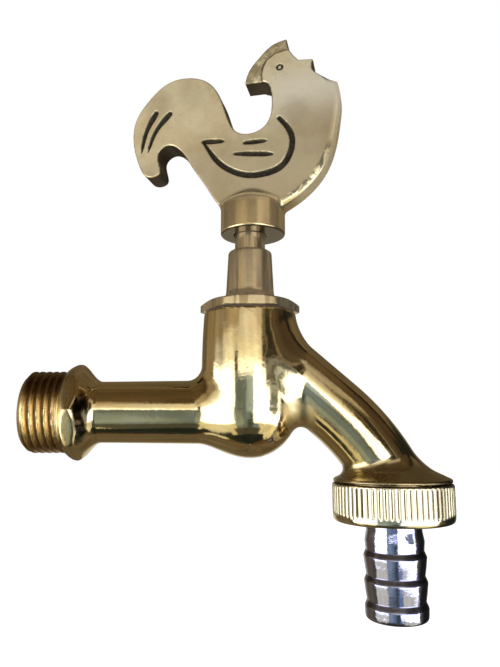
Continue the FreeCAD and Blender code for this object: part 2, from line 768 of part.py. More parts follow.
def make_handle():
    foot = f"{S}boss_level"
    shoulder = f"({foot} + {S}boss_length)"
    boss = revolved("boss", [
        ("0", foot),
        (f"{S}boss_radius - {S}boss_chamfer", foot),
        (f"{S}boss_radius", f"{foot} + {S}boss_chamfer"),
        (f"{S}boss_radius", shoulder),
        (f"{S}plate_width / 2", f"{shoulder} + {S}boss_shoulder_rise"),
        ("0", f"{shoulder} + {S}boss_shoulder_rise"),
    ], (0, 0, 1))
    outside = joined("handle_outside", [shape_feature("rooster_plate", rooster_shape()), boss])
    side = f"({S}spindle_square + 2 * {S}square_clearance)"
    socket = doc.addObject("Part::Box", "square_socket")
    bind(socket, Length=side, Width=side, Height=f"{S}socket_depth + 1")
    move(socket, x=f"-{side} / 2", y=f"-{side} / 2", z=f"{foot} - 1")
    mouth = cylinder("socket_mouth", f"{S}spindle_radius + {S}loose_clearance",
                     f"{S}socket_mouth_depth + 1")
    move(mouth, z=f"{foot} - 1")
    hole = cylinder("screw_hole", f"{S}screw_radius + {S}screw_clearance",
                    f"{S}boss_radius + 1")
    move(hole, z=f"{foot} + {S}screw_rise", axis=(1, 0, 0), angle="-90")
    hollow = joined("handle_hollow", [socket, mouth, hole])
    bored = less("handle_bored", outside, hollow)
    handle = less("rooster_handle", bored, shape_feature("engraving", engraving_shape()))
    handle.Label = "rooster_handle"
    move(handle, x=f"{S}chamber_x", angle=f"{S}handle_turn")


def make_grub_screw():
    body = new_body("handle_grub_screw")
    turn(body, "screw_turned", [
        ("0", "0"),
        (f"{S}screw_radius - {S}edge_break", "0"),
        (f"{S}screw_radius", f"{S}edge_break"),
        (f"{S}screw_radius", f"{S}screw_length"),
        ("0", f"{S}screw_length"),
    ])
    socket = prism(body, "screw_socket", 6, f"{S}screw_socket", f"{S}screw_length",
                   f"{S}screw_socket_depth", cut=True)
    body.Tip = socket
    reach = f"({S}spindle_square / 2 + {S}square_clearance)"
    turned = f"{S}handle_turn * 1 deg"
    body.Placement = FreeCAD.Placement(
        FreeCAD.Vector(0, 0, 0),
        FreeCAD.Rotation(FreeCAD.Vector(0, 0, 1), value("handle_turn")).multiply(
            FreeCAD.Rotation(FreeCAD.Vector(1, 0, 0), -90)))
    bind(body, Placement__Base__x=f"{S}chamber_x - {reach} * sin({turned})",
         Placement__Base__y=f"{reach} * cos({turned})",
         Placement__Base__z=f"{S}boss_level + {S}screw_rise")


def make_union_nut():
    body = new_body("union_nut")
    top = f"{S}nut_top_level"
    foot = f"{top} - {S}nut_height"
    bore = f"{S}outlet_thread_radius + {S}nut_thread_clearance"
    hole = f"{S}barb_radius + {S}nut_lip_clearance"
    nut_radius = f"{S}outlet_thread_radius + {S}nut_wall"
    turn(body, "nut_turned", [
        (hole, foot),
        (f"{nut_radius} - {S}nut_rounding", foot),
        (nut_radius, f"{foot} + {S}nut_rounding",
         f"{nut_radius} - {S}nut_rounding * {corner_cut}",
         f"{foot} + {S}nut_rounding * {corner_cut}"),
        (nut_radius, f"{top} - {S}nut_top_chamfer"),
        (f"{nut_radius} - {S}nut_top_chamfer", top),
        (bore, top),
        (bore, f"{foot} + {S}nut_lip"),
        (hole, f"{foot} + {S}nut_lip"),
    ])
    sketch = body_sketch(body, "rib_groove_sketch", "XY_Plane", f"{foot} + {S}nut_rounding")
    half = f"{S}rib_groove_width / 2"
    inner = f"{nut_radius} - {S}rib_groove_depth"
    outer = f"{nut_radius} + 1"
    mouth = f"{half} * {S}rib_groove_flare"
    outline(sketch, [(inner, f"-{half}"), (outer, f"-{mouth}"), (outer, mouth), (inner, half)])
    groove = body.newObject("PartDesign::Pocket", "rib_groove")
    groove.Profile = sketch
    groove.Reversed = True
    bind(groove, Length=f"{S}nut_height - {S}nut_rounding - {S}rib_margin")
    doc.recompute()
    ribs = body.newObject("PartDesign::PolarPattern", "ribs")
    ribs.Originals = [groove]
    ribs.Axis = (sketch, ["N_Axis"])
    ribs.Angle = 360.0
    bind(ribs, Occurrences=f"{S}rib_count")
    body.Tip = ribs
    move(body, x=f"{S}chamber_x + {S}outlet_reach")


def make_hose_tail():
    body = new_body("hose_tail")
    top = f"{S}outlet_end_level - {S}union_gasket_thickness"
    under = f"{top} - {S}tail_flange_thickness"
    corners = [
        (f"{S}tail_bore_radius", top),
        (f"{S}tail_flange_radius", top),
        (f"{S}tail_flange_radius", under),
        (f"{S}tail_neck_radius", under),
        (f"{S}tail_neck_radius", f"{S}barb_first_level"),
    ]
    for i in range(round(value("barb_count"))):
        level = f"{S}barb_first_level - {i} * {S}barb_spacing"
        if i:
            corners.append((f"{S}barb_valley_radius", level))
        corners += [
            (f"{S}barb_radius", f"{level} - {S}barb_step"),
            (f"{S}barb_radius", f"{level} - {S}barb_step - {S}barb_crest_length"),
        ]
    end = f"{S}tail_end_level"
    corners += [
        (f"{S}barb_radius - {S}tail_end_taper", f"{end} + {S}tail_end_rounding"),
        (f"{S}barb_radius - {S}tail_end_taper - {S}tail_end_rounding", end,
         f"{S}barb_radius - {S}tail_end_taper - {S}tail_end_rounding * {corner_cut}",
         f"{end} + {S}tail_end_rounding * {corner_cut}"),
        (f"{S}tail_bore_radius", end),
    ]
    turn(body, "tail_turned", corners)
    move(body, x=f"{S}chamber_x + {S}outlet_reach")


def check_and_write(labels):
    doc.recompute()
    failed = [t.Name for t in doc.Objects if {"Invalid", "Error"} & set(t.State)]
    if failed:
        raise RuntimeError(f"these did not build: {failed}")
    os.makedirs("parts", exist_ok=True)
    for label in labels:
        piece = doc.getObjectsByLabel(label)[0]
        if piece.Shape.isNull() or not piece.Shape.isValid():
            raise RuntimeError(f"{label} has no sound shape")
        piece.Shape.exportStep(f"parts/{label}.step")
        print(label, len(piece.Shape.Solids), round(piece.Shape.Volume, 1))


outlet_x = f"{S}chamber_x + {S}outlet_reach"
make_tap_body()
ring("bonnet_gasket", f"{S}bonnet_stem_radius + {S}loose_clearance", f"{S}bonnet_gasket_radius",
     f"{S}chamber_top_level", f"{S}chamber_top_level + {S}bonnet_gasket_thickness",
     f"{S}chamber_x")
make_bonnet()
make_spindle()
make_spindle_rings()
make_jumper()
make_handle()
make_grub_screw()
ring("union_gasket", f"{S}outlet_bore_radius + {S}loose_clearance", f"{S}union_gasket_radius",
     f"{S}outlet_end_level - {S}union_gasket_thickness", f"{S}outlet_end_level", outlet_x)
make_union_nut()
make_hose_tail()
check_and_write([
    "tap_body", "bonnet_gasket", "bonnet", "spindle", "spindle_o_ring_lower",
    "spindle_o_ring_upper", "valve_jumper", "valve_washer", "valve_washer_plate",
    "valve_washer_nut", "rooster_handle", "handle_grub_screw", "union_gasket", "union_nut",
    "hose_tail",
])
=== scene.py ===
import math
import bpy
import numpy as np
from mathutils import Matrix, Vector


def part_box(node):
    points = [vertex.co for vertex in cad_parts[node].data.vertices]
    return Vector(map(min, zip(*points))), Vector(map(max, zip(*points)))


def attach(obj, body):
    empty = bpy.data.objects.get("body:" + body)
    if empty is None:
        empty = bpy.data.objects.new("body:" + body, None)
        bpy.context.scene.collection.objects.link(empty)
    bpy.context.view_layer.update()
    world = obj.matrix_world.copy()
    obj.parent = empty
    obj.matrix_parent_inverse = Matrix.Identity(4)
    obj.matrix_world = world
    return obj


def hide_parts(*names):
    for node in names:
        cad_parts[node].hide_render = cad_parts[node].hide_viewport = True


# The garden tap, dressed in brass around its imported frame.
# All shapes are worked out in millimetres and turned into metres by toMesh.

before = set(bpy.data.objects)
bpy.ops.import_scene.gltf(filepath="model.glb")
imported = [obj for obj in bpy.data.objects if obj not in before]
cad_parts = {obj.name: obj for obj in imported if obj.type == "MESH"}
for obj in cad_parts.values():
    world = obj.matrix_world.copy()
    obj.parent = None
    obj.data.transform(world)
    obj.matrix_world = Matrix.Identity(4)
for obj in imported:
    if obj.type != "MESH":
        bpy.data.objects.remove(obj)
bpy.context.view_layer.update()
mm = 0.001


def boxOf(node):
    low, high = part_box(node)
    return np.array(low) / mm, np.array(high) / mm


bonnetLow, bonnetHigh = boxOf("bonnet")
nutLow, nutHigh = boxOf("union_nut")
chamberX = (bonnetLow[0] + bonnetHigh[0]) / 2
outletX = (nutLow[0] + nutHigh[0]) / 2
# how far the handle and its spindle stand turned at rest, in degrees
handleTurn = -13.0


# mesh tools

def putInScene(name, data):
    thing = bpy.data.objects.new(name, data)
    bpy.context.scene.collection.objects.link(thing)
    return thing


def toMesh(name, points, faceSets, normals=None, sharpAngle=None):
    mesh = bpy.data.meshes.new(name)
    points = np.asarray(points, float) * mm
    corners = np.concatenate([f.ravel() for f in faceSets]).astype(np.int32)
    sizes = np.concatenate([np.full(len(f), f.shape[1]) for f in faceSets])
    starts = np.concatenate([[0], np.cumsum(sizes)[:-1]]).astype(np.int32)
    mesh.vertices.add(len(points))
    mesh.vertices.foreach_set("co", points.ravel().astype(np.float32))
    mesh.loops.add(len(corners))
    mesh.loops.foreach_set("vertex_index", corners)
    mesh.polygons.add(len(sizes))
    mesh.polygons.foreach_set("loop_start", starts)
    mesh.polygons.foreach_set("use_smooth", np.ones(len(sizes), bool))
    mesh.update(calc_edges=True)
    mesh.validate()
    if sharpAngle is not None:
        mesh.set_sharp_from_angle(angle=math.radians(sharpAngle))
    if normals is not None:
        mesh.normals_split_custom_set_from_vertices(normals.astype(np.float32))
    return putInScene(name, mesh)


def addMarks(piece, marks):
    # one number per vertex under each name, for the materials
    for name, values in marks.items():
        layer = piece.data.attributes.new(name, "FLOAT", "POINT")
        layer.data.foreach_set("value", np.asarray(values, np.float32).ravel())


def step(low, high, value):
    # smooth step: 3 t^2 - 2 t^3 with t = (value - low) / (high - low), held to 0..1
    t = np.clip((value - low) / (high - low), 0, 1)
    return t * t * (3 - 2 * t)


def join(a, b, radius):
    # the union of two distance fields, with a concave fillet of this radius
    return (np.maximum(radius, np.minimum(a, b))
            - np.hypot(np.maximum(radius - a, 0), np.maximum(radius - b, 0)))


def cross(a, b, radius):
    # what two distance fields share, with a convex edge of this radius
    return (np.minimum(-radius, np.maximum(a, b))
            + np.hypot(np.maximum(radius + a, 0), np.maximum(radius + b, 0)))


def slopeOf(field, points, reach):
    # central differences along the three axes
    slope = np.empty_like(points)
    for axis in range(3):
        shift = np.zeros(3)
        shift[axis] = reach
        ahead = field(*(points + shift).T)
        behind = field(*(points - shift).T)
        slope[:, axis] = (ahead - behind) / (2 * reach)
    return slope


mesher = {
    "rounds": 3, "smoothed": 2, "share": 0.6, "slides": 2, "longestSlide": 0.45,
    "reach": 0.02, "normalReach": 0.03, "leastSlope": 0.2,
}


def meshField(field, low, high, cell):
    # One vertex per crossed cell, at the mean of its edge crossings, one quad per crossed edge.
    # Then the vertices slide towards their neighbours' mean and onto the surface:
    # p -= n f / |grad f|
    m = mesher
    low = np.asarray(low, float)
    counts = np.ceil((np.asarray(high, float) - low) / cell).astype(int) + 1
    axes = [low[i] + cell * np.arange(counts[i]) for i in range(3)]
    value = field(*np.meshgrid(*axes, indexing="ij"))
    cells = counts - 1
    total = int(np.prod(cells))
    strides = np.array([cells[1] * cells[2], cells[2], 1])
    place = np.zeros((total, 3))
    hits = np.zeros(total)
    quads = []
    for axis in range(3):
        a = np.delete(value, -1, axis)
        b = np.delete(value, 0, axis)
        crossed = np.argwhere((a < 0) != (b < 0))
        va = a[tuple(crossed.T)]
        vb = b[tuple(crossed.T)]
        spot = crossed.astype(float)
        spot[:, axis] += va / (va - vb)
        side = strides[(axis + 1) % 3]
        up = strides[(axis + 2) % 3]
        base = crossed @ strides
        around = np.stack([base - side - up, base - up, base, base - side], axis=1)
        around[va > 0] = around[va > 0][:, ::-1]
        quads.append(around)
        for column in around.T:
            hits += np.bincount(column, minlength=total)
            for i in range(3):
                place[:, i] += np.bincount(column, spot[:, i], total)
    used = hits > 0
    number = np.cumsum(used) - 1
    quads = number[np.concatenate(quads)]
    points = low + cell * place[used] / hits[used][:, None]
    ends = np.concatenate([quads, np.roll(quads, 1, axis=1)]).ravel()
    others = np.concatenate([np.roll(quads, 1, axis=1), quads]).ravel()
    degree = np.maximum(np.bincount(ends, minlength=len(points)), 1)[:, None]
    for turn in range(m["rounds"]):
        if turn < m["smoothed"]:
            mean = np.stack([np.bincount(ends, points[others, i], len(points))
                             for i in range(3)], axis=1) / degree
            points += m["share"] * (mean - points)
        for again in range(m["slides"]):
            slope = slopeOf(field, points, m["reach"])
            steep = np.maximum(np.linalg.norm(slope, axis=1), m["leastSlope"])
            furthest = m["longestSlide"] * cell
            depth = np.clip(field(*points.T) / steep, -furthest, furthest)
            points -= slope / steep[:, None] * depth[:, None]
    slope = slopeOf(field, points, m["normalReach"])
    normals = slope / np.maximum(np.linalg.norm(slope, axis=1), 1e-6)[:, None]
    return points, quads, normals


def circle(columns):
    return np.arange(columns) * 2 * math.pi / columns


def turnedPoints(radii, level, columns, centreX):
    # rings round the upright axis at centreX; the radii may differ from column to column
    angle = circle(columns)
    return np.stack([centreX + radii * np.cos(angle), radii * np.sin(angle),
                     np.broadcast_to(level, (len(level), columns))], axis=-1)


def ringPiece(name, points, sharpAngle, marks):
    # points[i, j]: i runs round a closed profile, j round the axis; both close on themselves
    rows, columns = points.shape[:2]
    index = np.arange(rows * columns).reshape(rows, columns)
    nextRow = np.roll(index, -1, axis=0)
    quads = np.stack([index, nextRow, np.roll(nextRow, -1, axis=1),
                      np.roll(index, -1, axis=1)], axis=-1).reshape(-1, 4)
    flat = points.reshape(-1, 3)
    corner = flat[quads]
    volume = np.einsum("ij,ij->i", corner[:, 0], np.cross(corner[:, 1], corner[:, 2])).sum()
    volume += np.einsum("ij,ij->i", corner[:, 0], np.cross(corner[:, 2], corner[:, 3])).sum()
    if volume < 0:
        quads = quads[:, ::-1]
    piece = toMesh(name, flat, [quads], sharpAngle=sharpAngle)
    addMarks(piece, marks)
    return piece


def roundedProfile(corners, longest, arcSteps=5):
    # radii and places along of a closed profile of (radius, along, rounding) corners: each one
    # becomes an arc, which takes less than half of the runs beside it, and no step is left
    # longer than `longest`
    corners = np.asarray(corners, float)
    count = len(corners)
    out = []
    for i in range(count):
        before = corners[i - 1, :2]
        here = corners[i, :2]
        after = corners[(i + 1) % count, :2]
        rounding = corners[i, 2]
        toBefore = (before - here) / np.linalg.norm(before - here)
        toAfter = (after - here) / np.linalg.norm(after - here)
        angle = math.acos(float(np.clip(toBefore @ toAfter, -1, 1)))
        if rounding <= 0 or angle > math.pi - 0.02:
            out.append([here])
            continue
        room = 0.45 * min(np.linalg.norm(before - here), np.linalg.norm(after - here))
        reach = min(rounding / math.tan(angle / 2), room)
        t = np.linspace(0, 1, arcSteps + 1)[:, None]
        start = here + toBefore * reach
        end = here + toAfter * reach
        out.append((1 - t) ** 2 * start + 2 * t * (1 - t) * here + t * t * end)
    line = np.concatenate(out)
    pieces = []
    for a, b in zip(line, np.roll(line, -1, axis=0)):
        parts = max(1, int(math.ceil(np.linalg.norm(b - a) / longest)))
        pieces.append(a + (b - a) * np.arange(parts)[:, None] / parts)
    line = np.concatenate(pieces)
    return line[:, :1], line[:, 1:]


def smoothCurve(points, spacing):
    # natural cubic spline through the points, by chord length, sampled about every `spacing`
    points = np.asarray(points, float)
    count = len(points)
    if count == 2:
        parts = max(2, int(np.linalg.norm(points[1] - points[0]) / spacing))
        return points[0] + (points[1] - points[0]) * np.linspace(0, 1, parts + 1)[:, None]
    knots = np.concatenate([[0], np.cumsum(np.linalg.norm(np.diff(points, axis=0), axis=1))])
    gaps = np.diff(knots)
    matrix = np.eye(count)
    right = np.zeros((count, 2))
    for i in range(1, count - 1):
        matrix[i, i - 1:i + 2] = gaps[i - 1], 2 * (gaps[i - 1] + gaps[i]), gaps[i]
        right[i] = 6 * ((points[i + 1] - points[i]) / gaps[i]
                        - (points[i] - points[i - 1]) / gaps[i - 1])
    bend = np.linalg.solve(matrix, right)
    t = np.linspace(0, knots[-1], int(knots[-1] / spacing) + 2)
    k = np.clip(np.searchsorted(knots, t, side="right") - 1, 0, count - 2)
    h = gaps[k][:, None]
    a = ((knots[k + 1] - t) / gaps[k])[:, None]
    b = 1 - a
    return (a * points[k] + b * points[k + 1]
            + ((a ** 3 - a) * bend[k] + (b ** 3 - b) * bend[k + 1]) * h * h / 6)


# tap casting

casting = {
    "chamberTop": 25.8, "topRadius": 12.15, "swellRadius": 12.65, "swellLevel": 12.0,
    "bulgeRadius": 12.3, "bulgeLevel": 0.6, "edge": 0.35, "fillet": 3.8,
    "tubeRadius": 7.85, "tubeEndRadius": 8.3, "inletBore": 5.0, "inletBoreShare": 0.8,
    "threadRadius": 10.4775, "collarVertex": 12.45, "collarEdge": 0.45, "inletEdge": 0.3,
    "riseRadius": 13.0, "rise": 2.9, "flareRadius": 13.6, "flareStart": 1.1, "flare": 7.6,
    "spareSlope": 0.2,
    "spoutRadius": 8.5, "spoutBore": 5.8, "spoutBoreTop": 2.0, "rootReach": 5.0,
    "rootLevel": 15.4, "pitch": 41.0, "swing": 22.0, "bendRadius": 60.0, "spareBend": 0.3,
    "shoulderRadius": 14.9, "shoulderUnder": -17.6, "shoulderTop": -13.2, "shoulderFall": 0.46,
    "coneReach": 7.0, "underEdge": 0.12, "spoutFillet": 2.6,
    "cell": 0.46, "margin": 1.2,
    # where the polish misses, and where shade and dark reflections are painted; a mark grows from the
    # first to the second place of its pair
    "hollowReach": 1.6, "hollowFade": 0.8,
    "nookReach": 7.5, "nookLevel": (4.0, 0.0), "nookAcross": (3.0, 5.0),
    "rimLevel": (-17.1, -17.5), "rimReach": (13.0, 14.0),
    "footLevel": (-11.5, -14.5), "footReach": (5.0, 8.0), "flatsEnd": (3.6, 2.6),
    "darkReflectionCentre": (5.5, -0.8), "darkReflectionSize": (1.6, 5.6), "darkReflectionEdge": (1.1, 0.8),
    "darkReflectionSide": (0.5, 0.8),
}


def chamberField(x, y, z, c):
    # radius along the height: the parabola through the top, the swell and the bulge
    reach = np.hypot(x - chamberX, y)
    a, b, d = c["chamberTop"], c["swellLevel"], c["bulgeLevel"]
    radius = (c["topRadius"] * (z - b) * (z - d) / ((a - b) * (a - d))
              + c["swellRadius"] * (z - a) * (z - d) / ((b - a) * (b - d))
              + c["bulgeRadius"] * (z - a) * (z - b) / ((d - a) * (d - b)))
    wallShade = np.where(z > d, reach - radius, np.hypot(reach, z - d) - c["bulgeRadius"])
    return cross(wallShade, z - a, c["edge"])


def collarField(x, y, z, c):
    # turned radius: the smaller of a rise 1 - (1 - t)^1.5 and a flare (1 + cos(pi s)) / 2 that
    # ends in the slightly tapered tube, all trimmed by an octagon
    flareEnd = c["flareStart"] + c["flare"]
    t = np.clip(x / c["rise"], 0, 1)
    rise = c["threadRadius"] + (c["riseRadius"] - c["threadRadius"]) * (1 - (1 - t) ** 1.5)
    s = np.clip((x - c["flareStart"]) / c["flare"], 0, 1)
    drop = c["flareRadius"] - c["tubeRadius"]
    taper = np.clip((x - flareEnd) / (chamberX - flareEnd), 0, 1)
    tube = c["tubeRadius"] + taper * (c["tubeEndRadius"] - c["tubeRadius"])
    radius = np.minimum(rise, tube + drop * (1 + np.cos(np.pi * s)) / 2)
    slope = np.sin(np.pi * s) * np.pi * drop / (2 * c["flare"])
    steepness = np.hypot(1, c["spareSlope"] + slope)
    turned = (np.hypot(y, z) - radius) / steepness
    half = math.radians(22.5)
    ay, az = np.abs(y), np.abs(z)
    apothem = c["collarVertex"] * math.cos(half)
    octagon = cross(ay * math.cos(half) + az * math.sin(half) - apothem,
                    ay * math.sin(half) + az * math.cos(half) - apothem, c["collarEdge"])
    solid = cross(turned, octagon, c["collarEdge"])
    return np.maximum(cross(solid, -x, c["inletEdge"]), x - chamberX)


def spoutLine(x, z, c):
    # distance in the XZ plane to a straight run that swings into a bend ending on the outlet
    pitch = math.radians(c["pitch"])
    swung = math.radians(c["pitch"] + c["swing"])
    run = ((outletX - chamberX - c["rootReach"]
            - c["bendRadius"] * (math.sin(swung) - math.sin(pitch))) / math.cos(pitch))
    startX, startZ = chamberX + c["rootReach"], c["rootLevel"]
    along = np.clip((x - startX) * math.cos(pitch) - (z - startZ) * math.sin(pitch), 0, run)
    straight = np.hypot(x - startX - along * math.cos(pitch), z - startZ + along * math.sin(pitch))
    centreX = startX + run * math.cos(pitch) - c["bendRadius"] * math.sin(pitch)
    centreZ = startZ - run * math.sin(pitch) - c["bendRadius"] * math.cos(pitch)
    angle = np.arctan2(z - centreZ, x - centreX)
    low, high = math.pi / 2 - swung - c["spareBend"], math.pi / 2 - pitch
    bend = np.abs(np.hypot(x - centreX, z - centreZ) - c["bendRadius"])
    return np.where((angle < high) & (angle > low), bend, straight)


def shoulderField(x, y, z, c):
    # a flat-bottomed dish under a cone
    reach = np.hypot(x - outletX, y)
    top = c["shoulderTop"] - c["shoulderFall"] * (reach - c["coneReach"])
    roof = (z - top) / math.hypot(1, c["shoulderFall"])
    dish = cross(roof, reach - c["shoulderRadius"], c["edge"])
    return cross(dish, c["shoulderUnder"] - z, c["underEdge"])


def castingField(x, y, z):
    c = casting
    away = np.hypot(spoutLine(x, z, c), y)
    spout = np.maximum(away - c["spoutRadius"], c["shoulderUnder"] - z)
    outside = join(chamberField(x, y, z, c), np.minimum(collarField(x, y, z, c), spout), c["fillet"])
    outside = join(outside, shoulderField(x, y, z, c), c["spoutFillet"])
    inletBore = np.maximum(np.hypot(y, z) - c["inletBore"], x - c["inletBoreShare"] * chamberX)
    spoutBore = np.maximum(away - c["spoutBore"], z - c["spoutBoreTop"])
    return np.maximum(outside, -np.minimum(inletBore, spoutBore))


def makeCasting():
    c = casting
    wide = c["shoulderRadius"] + c["margin"]
    low = (-c["margin"], -wide, c["shoulderUnder"] - c["margin"])
    high = (outletX + wide, wide, c["chamberTop"] + c["margin"])
    points, quads, normals = meshField(castingField, low, high, c["cell"])
    piece = toMesh("tapCasting", points, [quads], normals)
    x, y, z = points.T
    # in the hollows the surface comes back within reach
    lift = castingField(*(points + c["hollowReach"] * normals).T)
    away = np.maximum(chamberField(x, y, z, c),
                      np.hypot(spoutLine(x, z, c), y) - c["spoutRadius"])
    reach = np.hypot(x - outletX, y)
    side = np.abs(y) / np.maximum(np.hypot(y, z), 1.0)
    ellipse = np.hypot((x - c["darkReflectionCentre"][0]) / c["darkReflectionSize"][0],
                       (z - c["darkReflectionCentre"][1]) / c["darkReflectionSize"][1])
    addMarks(piece, {
        "hollow": np.clip((c["hollowReach"] - lift) / c["hollowFade"], 0, 1),
        # the low corner between chamber and spout
        "nook": (np.clip(1 - away / c["nookReach"], 0, 1) * step(*c["nookLevel"], z)
                 * step(*c["nookAcross"], x - chamberX)),
        # painted shade on the shoulder's rim and the foot of the spout
        "rimShade": step(*c["rimLevel"], z) * step(*c["rimReach"], reach),
        "foot": step(*c["footLevel"], z) * step(*c["footReach"], reach),
        # the collar's flats are darkened in streaks and the hollow behind them is black at the sides,
        # both painted dark reflections
        "flats": step(*c["flatsEnd"], x),
        "darkReflection": step(*c["darkReflectionEdge"], ellipse) * step(*c["darkReflectionSide"], side),
    })
    return piece


tapCasting = makeCasting()
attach(tapCasting, "root")
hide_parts("tap_body")
print("casting", len(tapCasting.data.polygons))


# threads

pipeThread = {
    "pitch": 1.814, "depth": 1.0, "crest": 0.5, "root": 0.25, "softness": 0.1, "columns": 420,
}
# inside: the (radius, place along) points that close the ring through its bore
inletThread = {
    "radius": 10.4775, "start": -10.3, "end": 0.25, "step": 0.085, "chamfer": 1.3,
    "rootAt": -4.0, "turn": -0.5, "fadeAtEnd": (-0.1, -1.0), "fadeAtStart": (-9.8, -8.7),
    "inside": [(5.0, 0.25), (5.0, -3.0), (5.0, -9.3), (5.0, -10.0), (5.1, -10.21),
               (5.3, -10.3), (7.0, -10.3), (8.8, -10.3)],
    "centreX": 0.0, "axes": [2, 0, 1], **pipeThread,
}
outletThread = {
    "radius": 13.2205, "start": -22.4, "end": -17.45, "step": 0.09, "chamfer": 0.8,
    "rootAt": -20.0, "turn": 0.0, "fadeAtEnd": (-17.45, -18.35), "fadeAtStart": (-23.4, -22.9),
    "inside": [(7.0, -17.45), (7.0, -20.0), (7.0, -22.1), (7.1, -22.31), (7.3, -22.4),
               (9.0, -22.4), (11.5, -22.4)],
    "centreX": outletX, "axes": [0, 1, 2], **pipeThread,
}


def threadDepth(along, angle, t):
    # right-hand helix: crest to root over along / pitch - angle / 2 pi, flat at crest and root
    phase = (along - t["rootAt"]) / t["pitch"] - angle / (2 * math.pi) - t["turn"]
    away = np.abs((phase - 0.5) % 1.0 - 0.5) * t["pitch"]
    rise = np.clip((away - t["root"] / 2) / (t["pitch"] / 2 - t["root"] / 2 - t["crest"] / 2), 0, 1)
    rise = rise + t["softness"] * np.sin(2 * np.pi * rise) / 2
    return t["depth"] * (1 - rise)


def makeThread(name, t):
    rows = int((t["end"] - t["start"]) / t["step"])
    along = np.linspace(t["start"], t["end"], rows)[:, None]
    cut = threadDepth(along, circle(t["columns"]), t)
    cut = cut * (step(*t["fadeAtEnd"], along) * step(*t["fadeAtStart"], along))
    radius = np.minimum(t["radius"] - cut, t["radius"] - t["chamfer"] + (along - t["start"]))
    inside = np.array(t["inside"])
    radii = np.concatenate([np.repeat(inside[:, :1], t["columns"], axis=1), radius])
    along = np.concatenate([inside[:, 1:], along])
    points = turnedPoints(radii, along, t["columns"], t["centreX"])[..., t["axes"]]
    valley = np.concatenate([np.zeros((len(inside), t["columns"])), cut / t["depth"]])
    return ringPiece(name, points, 46, {"valley": valley})


inletPiece = makeThread("inletThread", inletThread)
outletPiece = makeThread("outletThread", outletThread)
for piece in (inletPiece, outletPiece):
    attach(piece, "root")
    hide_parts("tap_body")
print("threads", len(inletPiece.data.polygons), len(outletPiece.data.polygons))


# bonnet and spindle

def awayFromFlat(points, sides, turn):
    # the angle to the middle of the nearest flat, the first flat standing at `turn`
    half = math.pi / sides
    return (np.arctan2(points[..., 1], points[..., 0]) - turn + half) % (2 * half) - half


def toChamber(points, scale):
    # scales each point's reach from the axis and moves the axis to the chamber's
    points[..., 0] = points[..., 0] * scale + chamberX
    points[..., 1] *= scale
    return points


bonnet = {
    "acrossFlats": 23.2, "under": 26.3, "top": 28.8, "chamfer": 0.8, "foot": 17.2,
    "stem": 9.0, "bore": 5.27, "neckBore": 4.16, "shoulder": 32.5,
    "neckBase": 6.4, "neckTop": 5.85, "neckLevel": 43.0, "rounding": 1.5, "flare": 3.2,
    "cornerBreak": 0.16, "rimBreak": 0.12, "rimWidth": 0.18, "columns": 420,
}


def makeBonnet():
    b = bonnet
    half = b["acrossFlats"] / 2
    vertex = half / math.cos(math.radians(30))
    flare = b["flare"]
    fillet = [(b["neckBase"] + flare * (1 - math.sin(a)), b["top"] + flare * (1 - math.cos(a)), 0)
              for a in np.linspace(0, math.pi / 2, 9)]
    profile = roundedProfile(
        [(b["bore"], b["foot"], 0), (b["stem"], b["foot"], 0.3), (b["stem"], b["under"], 0.05),
         (vertex, b["under"], 0.15), (vertex, b["top"] - b["chamfer"], 0),
         (half - 0.1, b["top"], 0.12)]
        + fillet
        + [(b["neckTop"], b["neckLevel"], b["rounding"]), (b["neckBore"], b["neckLevel"], 0.15),
           (b["neckBore"], b["shoulder"], 0), (b["bore"], b["shoulder"], 0)],
        longest=0.35)
    points = turnedPoints(*profile, b["columns"], 0)
    # the hexagon: r = apothem / cos(angle to the nearest flat), with its corners broken
    away = awayFromFlat(points, 6, math.pi / 6)
    reach = np.hypot(points[..., 0], points[..., 1])
    level = points[..., 2]
    edge = np.minimum(level - b["under"], b["top"] - level)
    limit = np.minimum(half / np.cos(away), vertex - b["cornerBreak"])
    limit = limit - b["rimBreak"] * (1 - step(0, b["rimWidth"], edge))
    scale = np.where((edge > -0.01) & (reach > limit), limit / reach, 1)
    return ringPiece("bonnetDressed", toChamber(points, scale), 25, {})


spindle = {
    "socket": 2.56, "foot": 12.4, "thread": 5.2, "threadTop": 26.0, "radius": 4.1,
    "top": 48.8, "socketDepth": 9.0, "rings": (35.2, 38.9), "ringRadius": 3.0, "ringWidth": 1.3,
    "square": 5.7, "squareTop": 55.4, "squareCorner": 4.0, "cone": 0.8, "tip": 0.02,
    "columns": 144,
}


def makeSpindle():
    s = spindle
    half = s["ringWidth"] / 2
    side = s["square"] / 2
    corners = [(s["socket"], s["foot"], 0), (s["thread"], s["foot"], 0.4),
               (s["thread"], s["threadTop"], 0.2), (s["radius"], s["threadTop"] + s["cone"], 0.2)]
    for level in s["rings"]:
        corners += [(s["radius"], level - half, 0.1), (s["ringRadius"], level - half, 0.1),
                    (s["ringRadius"], level + half, 0.1), (s["radius"], level + half, 0.1)]
    inner = s["foot"] + s["socketDepth"]
    corners += [(s["radius"], s["top"], 0.15), (side - 0.1, s["top"], 0),
                (side - 0.1, s["squareTop"], 0), (s["tip"], s["squareTop"], 0),
                (s["tip"], inner, 0), (s["socket"], inner, 0)]
    points = turnedPoints(*roundedProfile(corners, longest=0.5), s["columns"], 0)
    # the square end: r = half side / cos(angle to the nearest flat), turned with the handle
    away = awayFromFlat(points, 4, math.radians(handleTurn))
    reach = np.hypot(points[..., 0], points[..., 1])
    limit = np.minimum((side - 0.01) / np.cos(away), s["squareCorner"])
    square = (points[..., 2] >= s["top"] - 1e-6) & (reach > 2.0) & (reach < s["radius"] - 0.6)
    scale = np.where(square, limit / np.maximum(reach, 1e-6), 1)
    return ringPiece("spindleDressed", toChamber(points, scale), 30, {})


